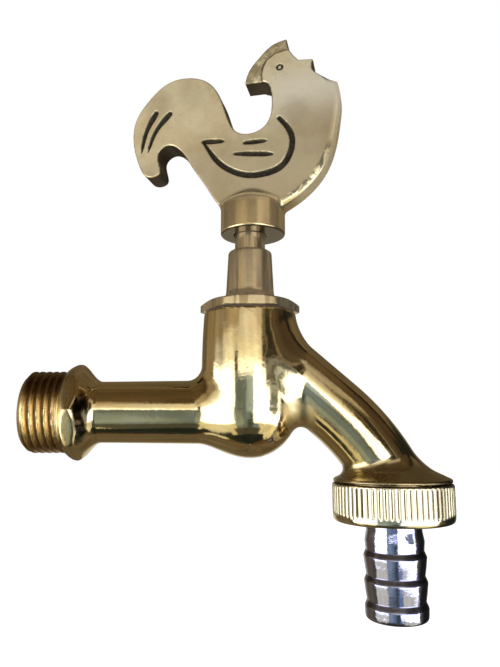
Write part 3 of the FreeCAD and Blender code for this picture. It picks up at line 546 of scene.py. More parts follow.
bonnetPiece = makeBonnet()
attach(bonnetPiece, "root")
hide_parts("bonnet")
spindlePiece = makeSpindle()
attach(spindlePiece, "handle")
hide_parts("spindle")
print("bonnet and spindle", len(bonnetPiece.data.polygons), len(spindlePiece.data.polygons))


# rooster handle

# places on the plate: (distance right of the boss's axis, height above its underside)
roosterRuns = {
    "backAndTail": [
        (-7.6, 6.8), (-9.9, 9.8), (-13.0, 14.8), (-16.7, 20.3), (-20.3, 25.6), (-23.9, 27.4),
        (-26.6, 25.6), (-26.4, 21.9), (-26.3, 19.2), (-29.3, 18.3), (-32.6, 22.2), (-34.5, 28.9),
        (-34.0, 36.2), (-30.1, 42.2), (-24.3, 46.9), (-18.1, 47.7), (-12.3, 45.5), (-8.8, 40.7),
        (-6.2, 33.2), (-3.7, 29.3), (0.5, 28.5), (4.5, 30.7), (6.1, 35.8), (5.9, 40.2),
        (4.8, 42.9), (2.6, 43.5)],
    "combUnderside": [(2.6, 43.5), (-1.6, 43.5)],
    "combBack": [(-1.6, 43.5), (-0.6, 47.1), (2.6, 51.3), (6.5, 54.7), (10.4, 55.8)],
    "combFront": [(10.4, 55.8), (11.3, 52.0), (13.7, 48.7)],
    "beakTop": [(13.7, 48.7), (17.8, 48.3)],
    "beakFront": [(17.8, 48.3), (17.5, 45.5), (19.6, 43.4)],
    "throat": [(19.6, 43.4), (24.2, 41.3)],
    "breast": [(24.2, 41.3), (24.9, 37.0), (24.4, 30.6), (23.1, 23.7), (20.5, 17.1),
               (16.8, 12.3), (12.0, 8.5), (8.0, 6.2)],
}
combStep = [(11.9, 56.0), (11.4, 51.9), (10.3, 52.3), (7.1, 51.6), (4.6, 49.8), (3.6, 47.8),
            (3.2, 45.6), (3.4, 42.6), (-3.0, 42.6), (-3.0, 57.0), (11.4, 57.0)]
# each stroke: its points, and its half width at the start, middle and end
strokes = [
    ([(8.2, 31.9), (10.4, 29.1), (11.7, 25.7), (11.1, 21.5), (8.8, 18.0), (4.1, 16.2),
      (-0.1, 16.1), (-5.0, 17.8), (-9.3, 21.2), (-12.2, 25.3), (-13.6, 27.5)],
     (0.85, 1.0, 0.6)),
    ([(-13.4, 27.3), (-7.5, 26.9)], (0.7, 0.8, 0.55)),
    ([(-1.5, 25.7), (4.5, 25.7)], (0.65, 0.75, 0.55)),
    ([(-4.3, 22.8), (6.2, 21.6)], (0.6, 0.8, 0.7)),
    ([(-27.8, 37.8), (-30.4, 32.9), (-31.9, 26.0)], (1.0, 0.75, 0.3)),
    ([(-23.6, 37.1), (-27.7, 32.2), (-29.9, 26.0)], (1.0, 0.75, 0.3)),
]
handle = {
    "foot": 47.8, "offset": 0.8, "halfWidth": 3.75, "edge": 0.5,
    "breastEdge": 2.2, "breastReach": (6.0, 1.5), "bossRadius": 8.8, "bossLength": 8.6,
    "bossRise": 3.2, "bossRim": 0.6, "bossEdge": 0.55, "fillet": 0.7,
    "recess": 0.45, "groove": 0.55, "eye": (8.5, 47.1), "eyeRing": 0.72, "eyeLine": 0.42,
    "spindleHole": 4.4, "holeDepth": 1.4, "screwHole": 2.05, "screwRise": 4.6, "screwFrom": 2.5,
    "axis": (-0.78, -0.18), "low": (-36.0, -10.2, -1.2), "high": (26.2, 10.2, 56.0), "cell": 0.34,
    "gridLow": (-38.0, -3.0), "gridHigh": (28.0, 58.0), "grid": 0.14, "faceDepth": 1.3,
    # a stroke's half width at these places along it, in shares of its first, middle and last
    "strokePlaces": (0, 0.12, 0.4, 0.85, 1),
    "strokeShares": [(0.85, 0, 0), (1, 0, 0), (0, 1, 0), (0, 0.5, 0.5), (0, 0, 0.6)],
}


class PlaneGrid:
    # values worked out once over the plate's plane and read back with bilinear mixing

    def __init__(self, low, high, spacing):
        self.low = np.array(low, float)
        self.spacing = spacing
        self.counts = np.ceil((np.array(high) - low) / spacing).astype(int) + 1
        u = self.low[0] + spacing * np.arange(self.counts[0])
        v = self.low[1] + spacing * np.arange(self.counts[1])
        self.u, self.v = np.meshgrid(u, v, indexing="ij")

    def toSegments(self, line, widths=None):
        # shortest distance to a polyline; with widths, less the half width there
        best = np.full(self.u.shape, 1e9)
        count = len(line) - 1
        for i in range(count):
            a = line[i]
            d = line[i + 1] - a
            t = np.clip(((self.u - a[0]) * d[0] + (self.v - a[1]) * d[1])
                        / max(float(d @ d), 1e-12), 0, 1)
            away = np.hypot(self.u - a[0] - t * d[0], self.v - a[1] - t * d[1])
            if widths is not None:
                away = away - (widths[i] + (widths[i + 1] - widths[i]) * t)
            best = np.minimum(best, away)
        return best

    def inPolygon(self, line):
        # even and odd crossings of a ray to the right
        inside = np.zeros(self.u.shape, bool)
        for a, b in zip(line, np.roll(line, -1, axis=0)):
            spans = (a[1] > self.v) != (b[1] > self.v)
            at = a[0] + (self.v - a[1]) * (b[0] - a[0]) / (b[1] - a[1] if b[1] != a[1] else 1e-9)
            inside ^= spans & (self.u < at)
        return inside

    def toPolygon(self, line):
        closed = np.concatenate([line, line[:1]])
        away = self.toSegments(closed)
        return np.where(self.inPolygon(line), -away, away)

    def read(self, values, u, v):
        a = np.clip((u - self.low[0]) / self.spacing, 0, self.counts[0] - 1.001)
        b = np.clip((v - self.low[1]) / self.spacing, 0, self.counts[1] - 1.001)
        i = a.astype(int)
        j = b.astype(int)
        a = a - i
        b = b - j
        return (values[i, j] * (1 - a) * (1 - b) + values[i + 1, j] * a * (1 - b)
                + values[i, j + 1] * (1 - a) * b + values[i + 1, j + 1] * a * b)


def drawRooster():
    h = handle
    grid = PlaneGrid(h["gridLow"], h["gridHigh"], h["grid"])
    curves = {key: smoothCurve(points, 0.5) for key, points in roosterRuns.items()}
    outline = np.concatenate([curve[:-1] for curve in curves.values()] + [curves["breast"][-1:]])
    plate = grid.toPolygon(outline)
    fromBreast = grid.toSegments(curves["breast"])
    edge = h["edge"] + (h["breastEdge"] - h["edge"]) * step(*h["breastReach"], fromBreast)
    comb = grid.toPolygon(np.array(combStep))
    groove = np.zeros(grid.u.shape)
    rim = np.full(grid.u.shape, 9.0)
    for points, widths in strokes:
        line = smoothCurve(points, 0.3)
        widths = np.interp(np.linspace(0, 1, len(line)), h["strokePlaces"],
                           np.array(h["strokeShares"]) @ widths)
        away = grid.toSegments(line, widths)
        rim = np.minimum(rim, away)
        groove = np.maximum(groove, step(0.1, -0.4, away))
    eye = np.abs(np.hypot(grid.u - h["eye"][0], grid.v - h["eye"][1]) - h["eyeRing"])
    groove = np.maximum(groove, 0.5 * step(h["eyeLine"], 0.05, eye))
    lowered = h["recess"] * step(0.25, -0.15, comb)
    return grid, {"plate": plate, "edge": edge, "groove": groove, "lowered": lowered,
                  "comb": comb, "rim": rim, "breast": fromBreast}


roosterGrid, roosterMaps = drawRooster()


def readRooster(u, v, *names):
    return [roosterGrid.read(roosterMaps[name], u, v) for name in names]


def handleField(u, w, v):
    h = handle
    plate, edge, groove, lowered = readRooster(u, v, "plate", "edge", "groove", "lowered")
    face = np.abs(w) - h["halfWidth"] + h["groove"] * groove + lowered
    body = cross(plate, face, edge)
    reach = np.hypot(u, w)
    slope = h["bossRise"] / (h["bossRadius"] - h["halfWidth"])
    top = h["bossLength"] + h["bossRise"] - (reach - h["halfWidth"]) * slope
    boss = cross(reach - h["bossRadius"], (v - top) / math.hypot(1, slope), h["bossRim"])
    solid = join(body, cross(boss, -v, h["bossEdge"]), h["fillet"])
    # the holes stay on the spindle's own axis
    across = np.hypot(u - h["axis"][0], w - h["axis"][1])
    hole = np.maximum(across - h["spindleHole"], v - h["holeDepth"])
    screw = np.hypot(u - h["axis"][0], v - h["screwRise"]) - h["screwHole"]
    screw = np.maximum(screw, h["screwFrom"] - w)
    return np.maximum(solid, -np.minimum(hole, screw))


def makeHandle():
    h = handle
    points, quads, normals = meshField(handleField, h["low"], h["high"], h["cell"])
    u, w, v = points.T
    groove, comb, rim, breast = readRooster(u, v, "groove", "comb", "rim", "breast")
    near = np.abs(w) > h["halfWidth"] - h["faceDepth"]
    facing = np.abs(normals[:, 1])
    # painted shade on the plate's side walls, and a painted dark reflection on edges that face up
    wallShade = np.maximum(step(0.8, 0.45, facing),
                      0.75 * step(0.98, 0.85, facing) * step(-0.5, 0.0, normals[:, 2]))
    c, s = math.cos(math.radians(handleTurn)), math.sin(math.radians(handleTurn))
    spin = np.array([[c, s, 0], [-s, c, 0], [0, 0, 1.0]])
    placed = points @ spin + np.array([chamberX + h["offset"], 0, h["foot"]])
    piece = toMesh("roosterDressed", placed, [quads], normals @ spin)
    addMarks(piece, {
        "groove": groove * near,
        "comb": np.where(near, np.clip(comb, -3, 3), 3),
        "rim": np.where(near, np.clip(rim, -3, 3), 3),
        "flat": step(0.75, 0.97, facing) * step(6.5, 8.5, v),
        "wallShade": wallShade * step(8.5, 11.0, v) * step(1.5, 3.5, breast),
        "breast": np.clip(breast, 0, 9),
        "across": u, "rise": v,
    })
    return piece


handlePiece = makeHandle()
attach(handlePiece, "handle")
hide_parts("rooster_handle")
print("handle", len(handlePiece.data.polygons))


# union nut

nut = {
    "radius": 15.22, "top": -17.9, "foot": -27.3, "lip": 1.35, "hole": 8.45, "bore": 13.3,
    "rounding": 2.2, "topEdge": 0.6, "ribs": 66, "perRib": 12, "belly": 0.17, "slot": 0.32,
    "slotWidth": 0.07, "slotTop": (-17.95, -18.45), "slotFoot": (-25.85, -25.05),
    "scallop": 0.35, "ribbedDepth": 1.4, "flank": 2.6, "paintedDarkRibs": (225.4, 303.6),
    "paintedDarkRibsWidth": 0.11, "paintedDarkRibsSpread": 2.4, "dirtWidth": 1.5, "topDirt": (-18.2, -18.0),
}


def makeNut():
    n = nut
    radii, level = roundedProfile(
        [(n["hole"], n["foot"], 0.25), (n["radius"] - 0.15, n["foot"], n["rounding"]),
         (n["radius"], n["foot"] + n["flank"], 0), (n["radius"], n["top"], n["topEdge"]),
         (n["bore"], n["top"], 0.25), (n["bore"], n["foot"] + n["lip"], 0),
         (n["hole"], n["foot"] + n["lip"], 0.1)], arcSteps=9, longest=0.45)
    columns = n["ribs"] * n["perRib"]
    angle = circle(columns)
    # one rib: r = R - belly (2 p)^2 - slot exp(-((|p| - 0.5) / width)^2), p from -0.5 to 0.5
    p = (angle * n["ribs"] / (2 * math.pi)) % 1.0 - 0.5
    away = np.abs(np.abs(p) - 0.5)
    shape = n["belly"] * (2 * p) ** 2 + n["slot"] * np.exp(-(away / n["slotWidth"]) ** 2)
    # the ribs' ends are round
    scallop = n["scallop"] * (2 * p) ** 2
    share = (step(*n["slotTop"], level + scallop) * step(*n["slotFoot"], level - scallop)
             * (radii > n["radius"] - n["ribbedDepth"]))
    points = turnedPoints(radii - shape * share, level, columns, outletX)
    # round two places on the viewer's side the slots' dark spreads wider, a painted dark reflection
    # on the ribs there
    paintedDarkRibs = sum(np.exp(-((angle - math.radians(a)) / n["paintedDarkRibsWidth"]) ** 2) for a in n["paintedDarkRibs"])
    width = n["dirtWidth"] * n["slotWidth"] * (1 + n["paintedDarkRibsSpread"] * paintedDarkRibs)
    darkness = np.maximum(share * np.exp(-(away / width) ** 2), step(*n["topDirt"], level))
    return ringPiece("nutDressed", points, 60, {"slot": darkness, "ribbed": share})


nutPiece = makeNut()
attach(nutPiece, "nut")
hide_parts("union_nut")
print("nut", len(nutPiece.data.polygons))


# hose tail

tail = {
    "bore": 5.2, "top": -24.2, "flange": 12.6, "flangeThickness": 1.6, "neck": 6.95,
    "swell": 7.4, "swellLevel": -31.9, "first": -34.2, "spacing": 5.95, "step": 1.45,
    "radius": 7.82, "waist": 7.55, "valley": 7.2, "count": 3, "end": -50.5, "taper": 0.15,
    "swellRise": 2.4, "waistDrop": 2.2, "line": 0.58, "lineWidth": 0.7,
    "endRounding": 1.3, "columns": 240,
}


def makeTail():
    t = tail
    under = t["top"] - t["flangeThickness"]
    corners = [(t["bore"], t["top"], 0.2), (t["flange"], t["top"], 0.2),
               (t["flange"], under, 0.2), (t["neck"], under, 0.3),
               (t["neck"], t["swellLevel"] + t["swellRise"], 1.5), (t["swell"], t["swellLevel"], 1.5)]
    levels = [t["first"] - i * t["spacing"] for i in range(t["count"])]
    for level in levels:
        corners += [(t["valley"], level, 0.6), (t["radius"], level - t["step"], 0.7)]
        if level != levels[-1]:
            corners.append((t["waist"], level - t["step"] - t["waistDrop"], 2.0))
    corners += [(t["radius"] - t["taper"], t["end"], t["endRounding"]),
                (t["bore"], t["end"], 0.35)]
    radii, along = roundedProfile(corners, arcSteps=6, longest=0.7)
    # a painted dark reflection lies on each barb's slope
    slope = sum(np.exp(-((along - level + t["line"]) / t["lineWidth"]) ** 2) for level in levels)
    slope = slope * (radii > t["bore"] + 0.5)
    points = turnedPoints(radii, along, t["columns"], outletX)
    return ringPiece("tailDressed", points, 40, {"valley": np.repeat(slope, t["columns"], axis=1)})


tailPiece = makeTail()
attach(tailPiece, "tail")
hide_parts("hose_tail")
print("tail", len(tailPiece.data.polygons))


# materials

def connect(made, inputs):
    # links wires to the node's sockets and sets constants on them
    for key, value in inputs.items():
        if isinstance(value, Wire):
            value.tree.links.new(value.socket, made.inputs[key])
        else:
            made.inputs[key].default_value = value


def sumOf(operation, swapped=False):
    def method(self, other):
        return self.maths(operation, *((other, self) if swapped else (self, other)))
    return method


class Wire:
    # a socket that takes part in sums, so that shader maths reads as maths

    def __init__(self, tree, socket):
        self.tree = tree
        self.socket = socket

    def node(self, kind, inputs, settings=None, output=0):
        made = self.tree.nodes.new(kind)
        for key, value in (settings or {}).items():
            setattr(made, key, value)
        connect(made, inputs)
        return Wire(self.tree, made.outputs[output])

    def maths(self, operation, *values):
        return self.node("ShaderNodeMath", dict(enumerate(values)), {"operation": operation})

    __add__ = sumOf("ADD")
    __radd__ = sumOf("ADD", swapped=True)
    __sub__ = sumOf("SUBTRACT")
    __rsub__ = sumOf("SUBTRACT", swapped=True)
    __mul__ = sumOf("MULTIPLY")
    __truediv__ = sumOf("DIVIDE")
    __pow__ = sumOf("POWER")
    most = sumOf("MAXIMUM")

    def __abs__(self):
        return self.maths("ABSOLUTE", self)

    def ramp(self, low, high):
        # 0 below low, 1 above high, smooth between; low may be the larger
        return self.node("ShaderNodeMapRange", {"Value": self, "From Min": low, "From Max": high},
                         {"interpolation_type": "SMOOTHSTEP"})

    def mix(self, first, second):
        # colours first and second mixed by this value
        return self.node("ShaderNodeMix", {0: self, 6: first, 7: second},
                         {"data_type": "RGBA", "clamp_factor": True}, output=2)

    def scaled(self, x, y, z):
        return self.node("ShaderNodeMapping", {"Vector": self, "Scale": (x, y, z)})

    def noise(self, scale, detail, roughness, distortion=0.0):
        return self.node("ShaderNodeTexNoise",
                         {"Vector": self, "Scale": scale, "Detail": detail,
                          "Roughness": roughness, "Distortion": distortion})

    def level(self):
        # the height in millimetres
        return self.node("ShaderNodeSeparateXYZ", {"Vector": self}, output=2) / mm

    def marks(self, *names):
        return [self.node("ShaderNodeAttribute", {}, {"attribute_name": name}, output=2)
                for name in names]


def blankMaterial(name):
    material = bpy.data.materials.new(name)
    material.use_nodes = True
    return material, material.node_tree


def makeMaterial(name, look, settings):
    # look: the shader's inputs, worked out from the place on the piece and the settings
    material, tree = blankMaterial(name)
    spot = Wire(tree, tree.nodes.new("ShaderNodeTexCoord").outputs["Object"])
    connect(tree.nodes["Principled BSDF"], look(spot, settings))
    return material


def bump(height, distance):
    # distance: how many millimetres a height of 1 stands out
    return height.node("ShaderNodeBump", {"Height": height, "Distance": distance * mm})


def hue(red, green, blue):
    return (red, green, blue, 1.0)


castBrass = {
    "bright": hue(0.88, 0.77, 0.52), "warm": hue(0.84, 0.69, 0.40), "stain": hue(0.46, 0.36, 0.20),
    "paintedDark": hue(0.06, 0.043, 0.025), "roughness": 0.07, "satin": 0.28,
}


def lookOfCastBrass(spot, s):
    hollow, nook, shade, foot, flats, darkReflection = spot.marks(
        "hollow", "nook", "rimShade", "foot", "flats", "darkReflection")
    nook = nook.ramp(0.1, 0.5)
    cloud = spot.noise(90, 4, 0.6)
    fine = spot.noise(900, 4, 0.7)
    lines = spot.scaled(1, 1, 0.1).noise(1500, 2, 0.5)
    streak = spot.scaled(1, 0.12, 0.12).noise(800, 3, 0.6)
    darkened = hollow.ramp(0.25, 1.0) * 0.6 + cloud.ramp(0.62, 0.8) * 0.2
    # foot adds painted shade at the foot of the spout
    darkened = darkened + foot * 0.6 + flats * (0.25 + streak.ramp(0.4, 0.6) * 0.6)
    darkened = darkened + fine.ramp(0.62, 0.85) * 0.25
    colour = darkened.mix(cloud.ramp(0.35, 0.65).mix(s["bright"], s["warm"]), s["stain"])
    colour = (nook * 0.2).mix(colour, s["stain"])
    # the dark mixed in here is painted shade on the shoulder's rim and the spout's foot and a painted
    # dark reflection in the collar's hollow
    black = (darkReflection * 0.95).most(foot * 0.3).most(shade * 0.9)
    height = (cloud * 0.35 + spot.noise(220, 3, 0.5) * 0.16) * (1 - hollow * 0.85)
    return {
        "Metallic": 1.0,
        "Base Color": black.mix(colour, s["paintedDark"]),
        "Roughness": (s["roughness"] + fine.ramp(0.4, 0.8) * 0.07 + darkened * s["satin"]
                      + shade * 0.3 + nook * 0.3),
        "Normal": bump(height + lines * 0.014 + fine * 0.014, 0.28),
    }


threadBrass = {
    "bright": hue(0.88, 0.68, 0.37), "dark": hue(0.24, 0.14, 0.06), "brown": hue(0.20, 0.12, 0.055),
    "roughness": 0.26,
}


def lookOfThreadBrass(spot, s):
    valley, = spot.marks("valley")
    cloud = spot.noise(260, 3, 0.6)
    level = spot.level() + (cloud - 0.5) * 5
    # painted dark reflection over the top of the inlet thread; the low outlet thread is darker too
    topReflectionAndLowDark = level.ramp(0.5, 7.5) * 0.95 + level.ramp(-5.0, -10.0) * 0.7
    darkness = valley.ramp(0.35, 0.95) * 0.85 + cloud.ramp(0.6, 0.9) * 0.2
    return {
        "Metallic": 1.0,
        "Base Color": darkness.mix(topReflectionAndLowDark.mix(s["bright"], s["brown"]), s["dark"]),
        "Roughness": s["roughness"] + darkness * 0.25,
        "Normal": bump(spot.noise(900, 3, 0.6), 0.05),
    }


turnedBrass = {
    "bright": hue(0.72, 0.60, 0.40), "stain": hue(0.26, 0.19, 0.10), "roughness": 0.14,
    "aboveNeck": (43.0, 43.6),
}


def lookOfTurnedBrass(spot, s):
    cloud = spot.noise(160, 4, 0.6)
    streak = spot.scaled(1, 1, 0.06).noise(380, 3, 0.6)
    rings = spot.scaled(0.1, 0.1, 1).noise(2600, 2, 0.6)
    darkened = cloud.ramp(0.5, 0.8) * 0.3 + streak.ramp(0.5, 0.62) * 0.6
    # the spindle above the bonnet's neck is a little darker
    darkened = darkened + spot.level().ramp(*s["aboveNeck"]) * 0.1
    return {
        "Metallic": 0.9,
        "Base Color": darkened.mix(s["bright"], s["stain"]),
        "Roughness": s["roughness"] + cloud.ramp(0.3, 0.8) * 0.14,
        "Normal": bump(rings * 0.2 + cloud * 0.3, 0.05),
    }


handleBrass = {
    "bright": hue(0.95, 0.84, 0.56), "tan": hue(0.77, 0.63, 0.37), "stain": hue(0.44, 0.36, 0.23),
    "olive": hue(0.30, 0.24, 0.12), "darkLinesAndReflection": hue(0.02, 0.017, 0.012), "wallShade": hue(0.06, 0.043, 0.022),
    "light": hue(1.0, 0.94, 0.76), "boss": hue(0.86, 0.70, 0.42),
    # soft stains on the plate: place, size, strength
    "stains": [((13.0, 33.5), 5.5, 0.4), ((-17.0, 42.0), 6.0, 0.2), ((-27.0, 40.0), 6.0, 0.25)],
}


def lookOfHandleBrass(spot, s):
    across, rise, flat, groove, wallShade, rim, comb, breast = spot.marks(
        "across", "rise", "flat", "groove", "wallShade", "rim", "comb", "breast")
    cloud = spot.noise(70, 4, 0.6, 0.4)
    mottle = spot.noise(330, 4, 0.65, 0.6)
    grain = spot.noise(1500, 3, 0.7)

    def awayFrom(place):
        return ((across - place[0]) ** 2 + (rise - place[1]) ** 2) ** 0.5

    stain = mottle.ramp(0.54, 0.78) * 0.3 + grain.ramp(0.6, 0.85) * 0.3
    for place, size, strength in s["stains"]:
        away = awayFrom(place) / size + (mottle - 0.5) * 1.1
        stain = stain + (1 - away.ramp(0.3, 1.0)) * strength
    base = cloud.ramp(0.35, 0.68).mix(s["bright"], s["tan"])
    pale = across.ramp(-2.0, 12.0) * rise.ramp(26.0, 38.0) * rise.ramp(50.0, 40.0)
    base = pale.mix(base, s["light"])
    base = rise.ramp(9.5, 7.5).mix(base, s["boss"])
    # painted shade under the boss
    base = (rise.ramp(0.35, 0.12) * 0.9).mix(base, s["wallShade"])
    base = (stain * flat).mix(base, s["stain"])
    onComb = 1 - comb.ramp(-0.3, 0.1)
    base = (onComb * (mottle + grain * 0.4).ramp(0.5, 0.85) * 0.85).mix(base, s["olive"])
    # the plate's face is darker towards its low part
    low = (rise - across * 0.25).ramp(38.0, 20.0) * flat * (0.45 + cloud * 0.5)
    base = low.mix(base, s["stain"])
    # painted shade on the side walls and a painted dark reflection on the upper edges
    base = (wallShade * (0.85 + cloud * 0.3)).mix(base, s["wallShade"])
    # dark in the strokes, round the eye and along the comb's step
    inside = 1 - (rim + (grain - 0.5) * 0.3).ramp(-0.3, 0.02)
    ring = 1 - abs(awayFrom(handle["eye"]) - handle["eyeRing"]).ramp(0.2, 0.42)
    line = 1 - abs(comb - 0.1).ramp(0.1, 0.5)
    dark = (inside * (0.82 + grain * 0.3)).most(ring * 0.9)
    dark = dark.most(line * (0.35 + mottle.ramp(0.4, 0.6) * 0.55))
    # painted dark reflections, broken up, on the low part of the breast's bevel
    bevel = breast.ramp(0.3, 0.9) * breast.ramp(2.3, 1.5) * rise.ramp(25.0, 21.0)
    dark = dark.most(bevel * mottle.ramp(0.47, 0.56) * rise.ramp(8.0, 9.5) * 0.8)
    height = (cloud * 0.5 + mottle * 0.1) * (1 - flat * 0.3) + grain * 0.05 + onComb * mottle * 0.6
    return {
        "Base Color": dark.mix(base, s["darkLinesAndReflection"]),
        "Metallic": 0.93 - rise.ramp(7.0, 10.0) * 0.19,
        "Roughness": (0.2 + flat * 0.17 + onComb * 0.1 + groove * 0.35 + wallShade * 0.25
                      + (mottle - 0.5) * 0.12),
        "Normal": bump(height, 0.14),
    }


nutBrass = {
    "bright": hue(0.97, 0.90, 0.70), "dark": hue(0.13, 0.08, 0.03), "roughness": 0.09,
}


def lookOfNutBrass(spot, s):
    slot, ribbed = spot.marks("slot", "ribbed")
    cloud = spot.noise(200, 3, 0.5)
    return {
        "Metallic": 1.0,
        "Base Color": (slot.ramp(0.3, 0.9) * 0.9).mix(s["bright"], s["dark"]),
        "Roughness": s["roughness"] + cloud.ramp(0.4, 0.8) * 0.08 + ribbed * 0.28 + slot * 0.2,
        "Normal": bump(cloud, 0.05),
    }


tailNickel = {
    "bright": hue(0.56, 0.60, 0.92), "dark": hue(0.07, 0.055, 0.06), "roughness": 0.07,
}


def lookOfTailNickel(spot, s):
    valley, = spot.marks("valley")
    cloud = spot.noise(180, 4, 0.6)
    fine = spot.noise(900, 3, 0.7)
    # valley here is the painted dark reflection on each barb's slope
    darkness = valley.ramp(0.15, 0.75) * (0.7 + cloud * 0.4) + fine.ramp(0.6, 0.85) * 0.3
    return {
        "Metallic": 1.0,
        "Base Color": darkness.mix(s["bright"], s["dark"]),
        "Roughness": s["roughness"] + cloud.ramp(0.45, 0.8) * 0.08 + darkness * 0.22,
        "Normal": bump(cloud + fine * 0.2, 0.12),
    }


def lookOfPlain(spot, s):
    grain = spot.noise(s["grain"], 3, 0.6)
    return {
        "Base Color": s["colour"], "Metallic": s["metallic"],
        "Roughness": s["roughness"] + (grain - 0.5) * 0.15,
        "Normal": bump(grain, s["relief"]),
    }


def coat(piece, material):
    piece.data.materials.clear()
    piece.data.materials.append(material)


def dress(piece, material):
    coat(piece, material)


threadMaterial = makeMaterial("threadBrass", lookOfThreadBrass, threadBrass)
turnedMaterial = makeMaterial("turnedBrass", lookOfTurnedBrass, turnedBrass)
rubber = makeMaterial("blackRubber", lookOfPlain, {
    "colour": hue(0.02, 0.02, 0.02), "roughness": 0.55, "metallic": 0.0, "grain": 900,
    "relief": 0.03})
fibre = makeMaterial("darkFibre", lookOfPlain, {
    "colour": hue(0.05, 0.035, 0.025), "roughness": 0.7, "metallic": 0.0, "grain": 1200,
    "relief": 0.04})
steel = makeMaterial("screwSteel", lookOfPlain, {
    "colour": hue(0.45, 0.45, 0.46), "roughness": 0.35, "metallic": 1.0, "grain": 900,
    "relief": 0.02})
dress(tapCasting, makeMaterial("castBrass", lookOfCastBrass, castBrass))
dress(inletPiece, threadMaterial)
dress(outletPiece, threadMaterial)
dress(bonnetPiece, turnedMaterial)
dress(spindlePiece, turnedMaterial)
dress(handlePiece, makeMaterial("handleBrass", lookOfHandleBrass, handleBrass))
dress(nutPiece, makeMaterial("nutBrass", lookOfNutBrass, nutBrass))
dress(tailPiece, makeMaterial("tailNickel", lookOfTailNickel, tailNickel))
cadFinish = {
    "bonnet_gasket": fibre, "spindle_o_ring_lower": rubber, "spindle_o_ring_upper": rubber,
    "valve_jumper": turnedMaterial, "valve_washer": rubber, "valve_washer_plate": turnedMaterial,
    "valve_washer_nut": turnedMaterial, "handle_grub_screw": steel, "union_gasket": rubber,
}
for node, material in cadFinish.items():
    coat(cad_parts[node], material)
print("materials")


# stage, light and camera

def paint(colour, patch, azimuth, elevation):
    # lays one soft-edged patch over the colours: (azimuths, elevations, colour, edge softness)
    (left, right), (low, high), shade, soft = patch
    share = (step(left - soft, left + soft, azimuth) * step(right + soft, right - soft, azimuth)
             * step(low - soft, low + soft, elevation) * step(high + soft, high - soft, elevation))
    return colour + share[..., None] * (np.array(shade) - colour)


studio = {
    "centre": (47.0, 0.0, 10.0), "radius": 260.0, "floor": -260.0, "floorReach": 4000.0,
    "floorGlow": 0.6, "worldLight": 0.55, "olive": (0.14, 0.105, 0.06),
    "boxes": {"leftBox": (-520.0, -520.0, 60.0), "rightBox": (620.0, -480.0, 60.0)},
    "boxSize": 420.0, "boxPower": 5.0,
    # what stands around the tap: azimuth 0 is towards the viewer and positive to the right
    "patches": [
        ((-98, 100), (-100, 100), (0.105, 0.07, 0.034), 5),
        ((-64, -20), (15, 30), (0.40, 0.32, 0.19), 4),
        ((-25, 30), (14, 24), (0.80, 0.71, 0.56), 4),
        ((15, 58), (24, 37), (0.52, 0.44, 0.31), 5),
        ((17, 36), (14, 27), (0.58, 0.49, 0.35), 3),
        ((-106, -64), (13, 34), (0.08, 0.055, 0.03), 4),
        ((-126, -88), (-2, 24), (0.24, 0.18, 0.10), 4),
        ((-92, -62), (7, 25), (0.34, 0.27, 0.17), 4),
        ((-88, -60), (5, 11), (0.62, 0.57, 0.44), 3),
        ((-66, 27), (5, 16), (0.82, 0.73, 0.55), 2.5),
        ((-60, 27), (5, 11), (1.05, 0.98, 0.75), 2),
        ((-92, 76), (-34, 6), (2.6, 2.6, 2.5), 2),
        ((-92, 84), (-60, -33), (0.84, 0.76, 0.48), 2.5),
        ((-76, 60), (-100, -58), (0.018, 0.022, 0.019), 2),
        ((-82, -56), (-100, -50), (0.03, 0.032, 0.022), 2.5),
        ((-35, 8), (-47, 4), (0.16, 0.195, 0.19), 2.5),
        ((-35, -16), (-38, -6), (0.28, 0.33, 0.31), 4),
        ((-8, 8), (-9, 4), (0.36, 0.45, 0.50), 3),
        ((-12, -2), (-34, -12), (0.18, 0.24, 0.29), 3),
        ((4, 24), (-50, -34), (0.20, 0.28, 0.36), 3),
        ((-6, 8), (-47, -26), (0.085, 0.10, 0.095), 3),
        ((-42, 30), (-60, -44), (0.075, 0.072, 0.052), 2.5),
        ((-35, -28), (3, 10), (0.15, 0.12, 0.08), 1.5),
        ((29, 40), (9, 24), (0.19, 0.15, 0.09), 3),
        ((36, 100), (6, 25), (0.10, 0.075, 0.042), 3),
        ((28, 54), (5, 13), (0.04, 0.034, 0.022), 2.5),
        ((36, 53), (12, 20), (0.04, 0.032, 0.02), 3),
        ((34, 36), (8, 22), (0.22, 0.18, 0.11), 1.2),
        ((49, 52), (4, 22), (0.26, 0.21, 0.13), 1.5),
        ((36, 70), (-1, 6), (0.09, 0.085, 0.062), 3),
        ((46, 68), (-7, 0), (0.17, 0.18, 0.15), 3),
        ((54, 66), (-13, -6), (0.30, 0.32, 0.27), 3),
        ((62, 100), (2, 40), (0.075, 0.05, 0.028), 3),
        ((74, 120), (-3, 20), (0.02, 0.02, 0.016), 3),
        ((88, 130), (-46, 20), (0.015, 0.018, 0.016), 4),
        ((92, 103), (14, 42), (0.02, 0.015, 0.01), 2),
        ((-122, -108), (26, 46), (0.025, 0.018, 0.01), 3),
        ((158, 190), (-30, 8), (0.50, 0.46, 0.36), 8),
        ((-190, -158), (-30, 8), (0.50, 0.46, 0.36), 8),
    ],
    # slow waves in the brightness: (share, azimuth waves, elevation waves, phase)
    "waves": [(0.10, 3, 5, 0.4), (0.09, 7, -4, 1.9), (0.07, -11, 9, 3.1), (0.06, 19, 13, 0.8)],
}
# the camera stands in the chamber's middle plane and looks up
viewpoint = {"ahead": -157.5, "level": -5.9, "tilt": 99.6, "lens": 32.38, "sensor": 36.0}


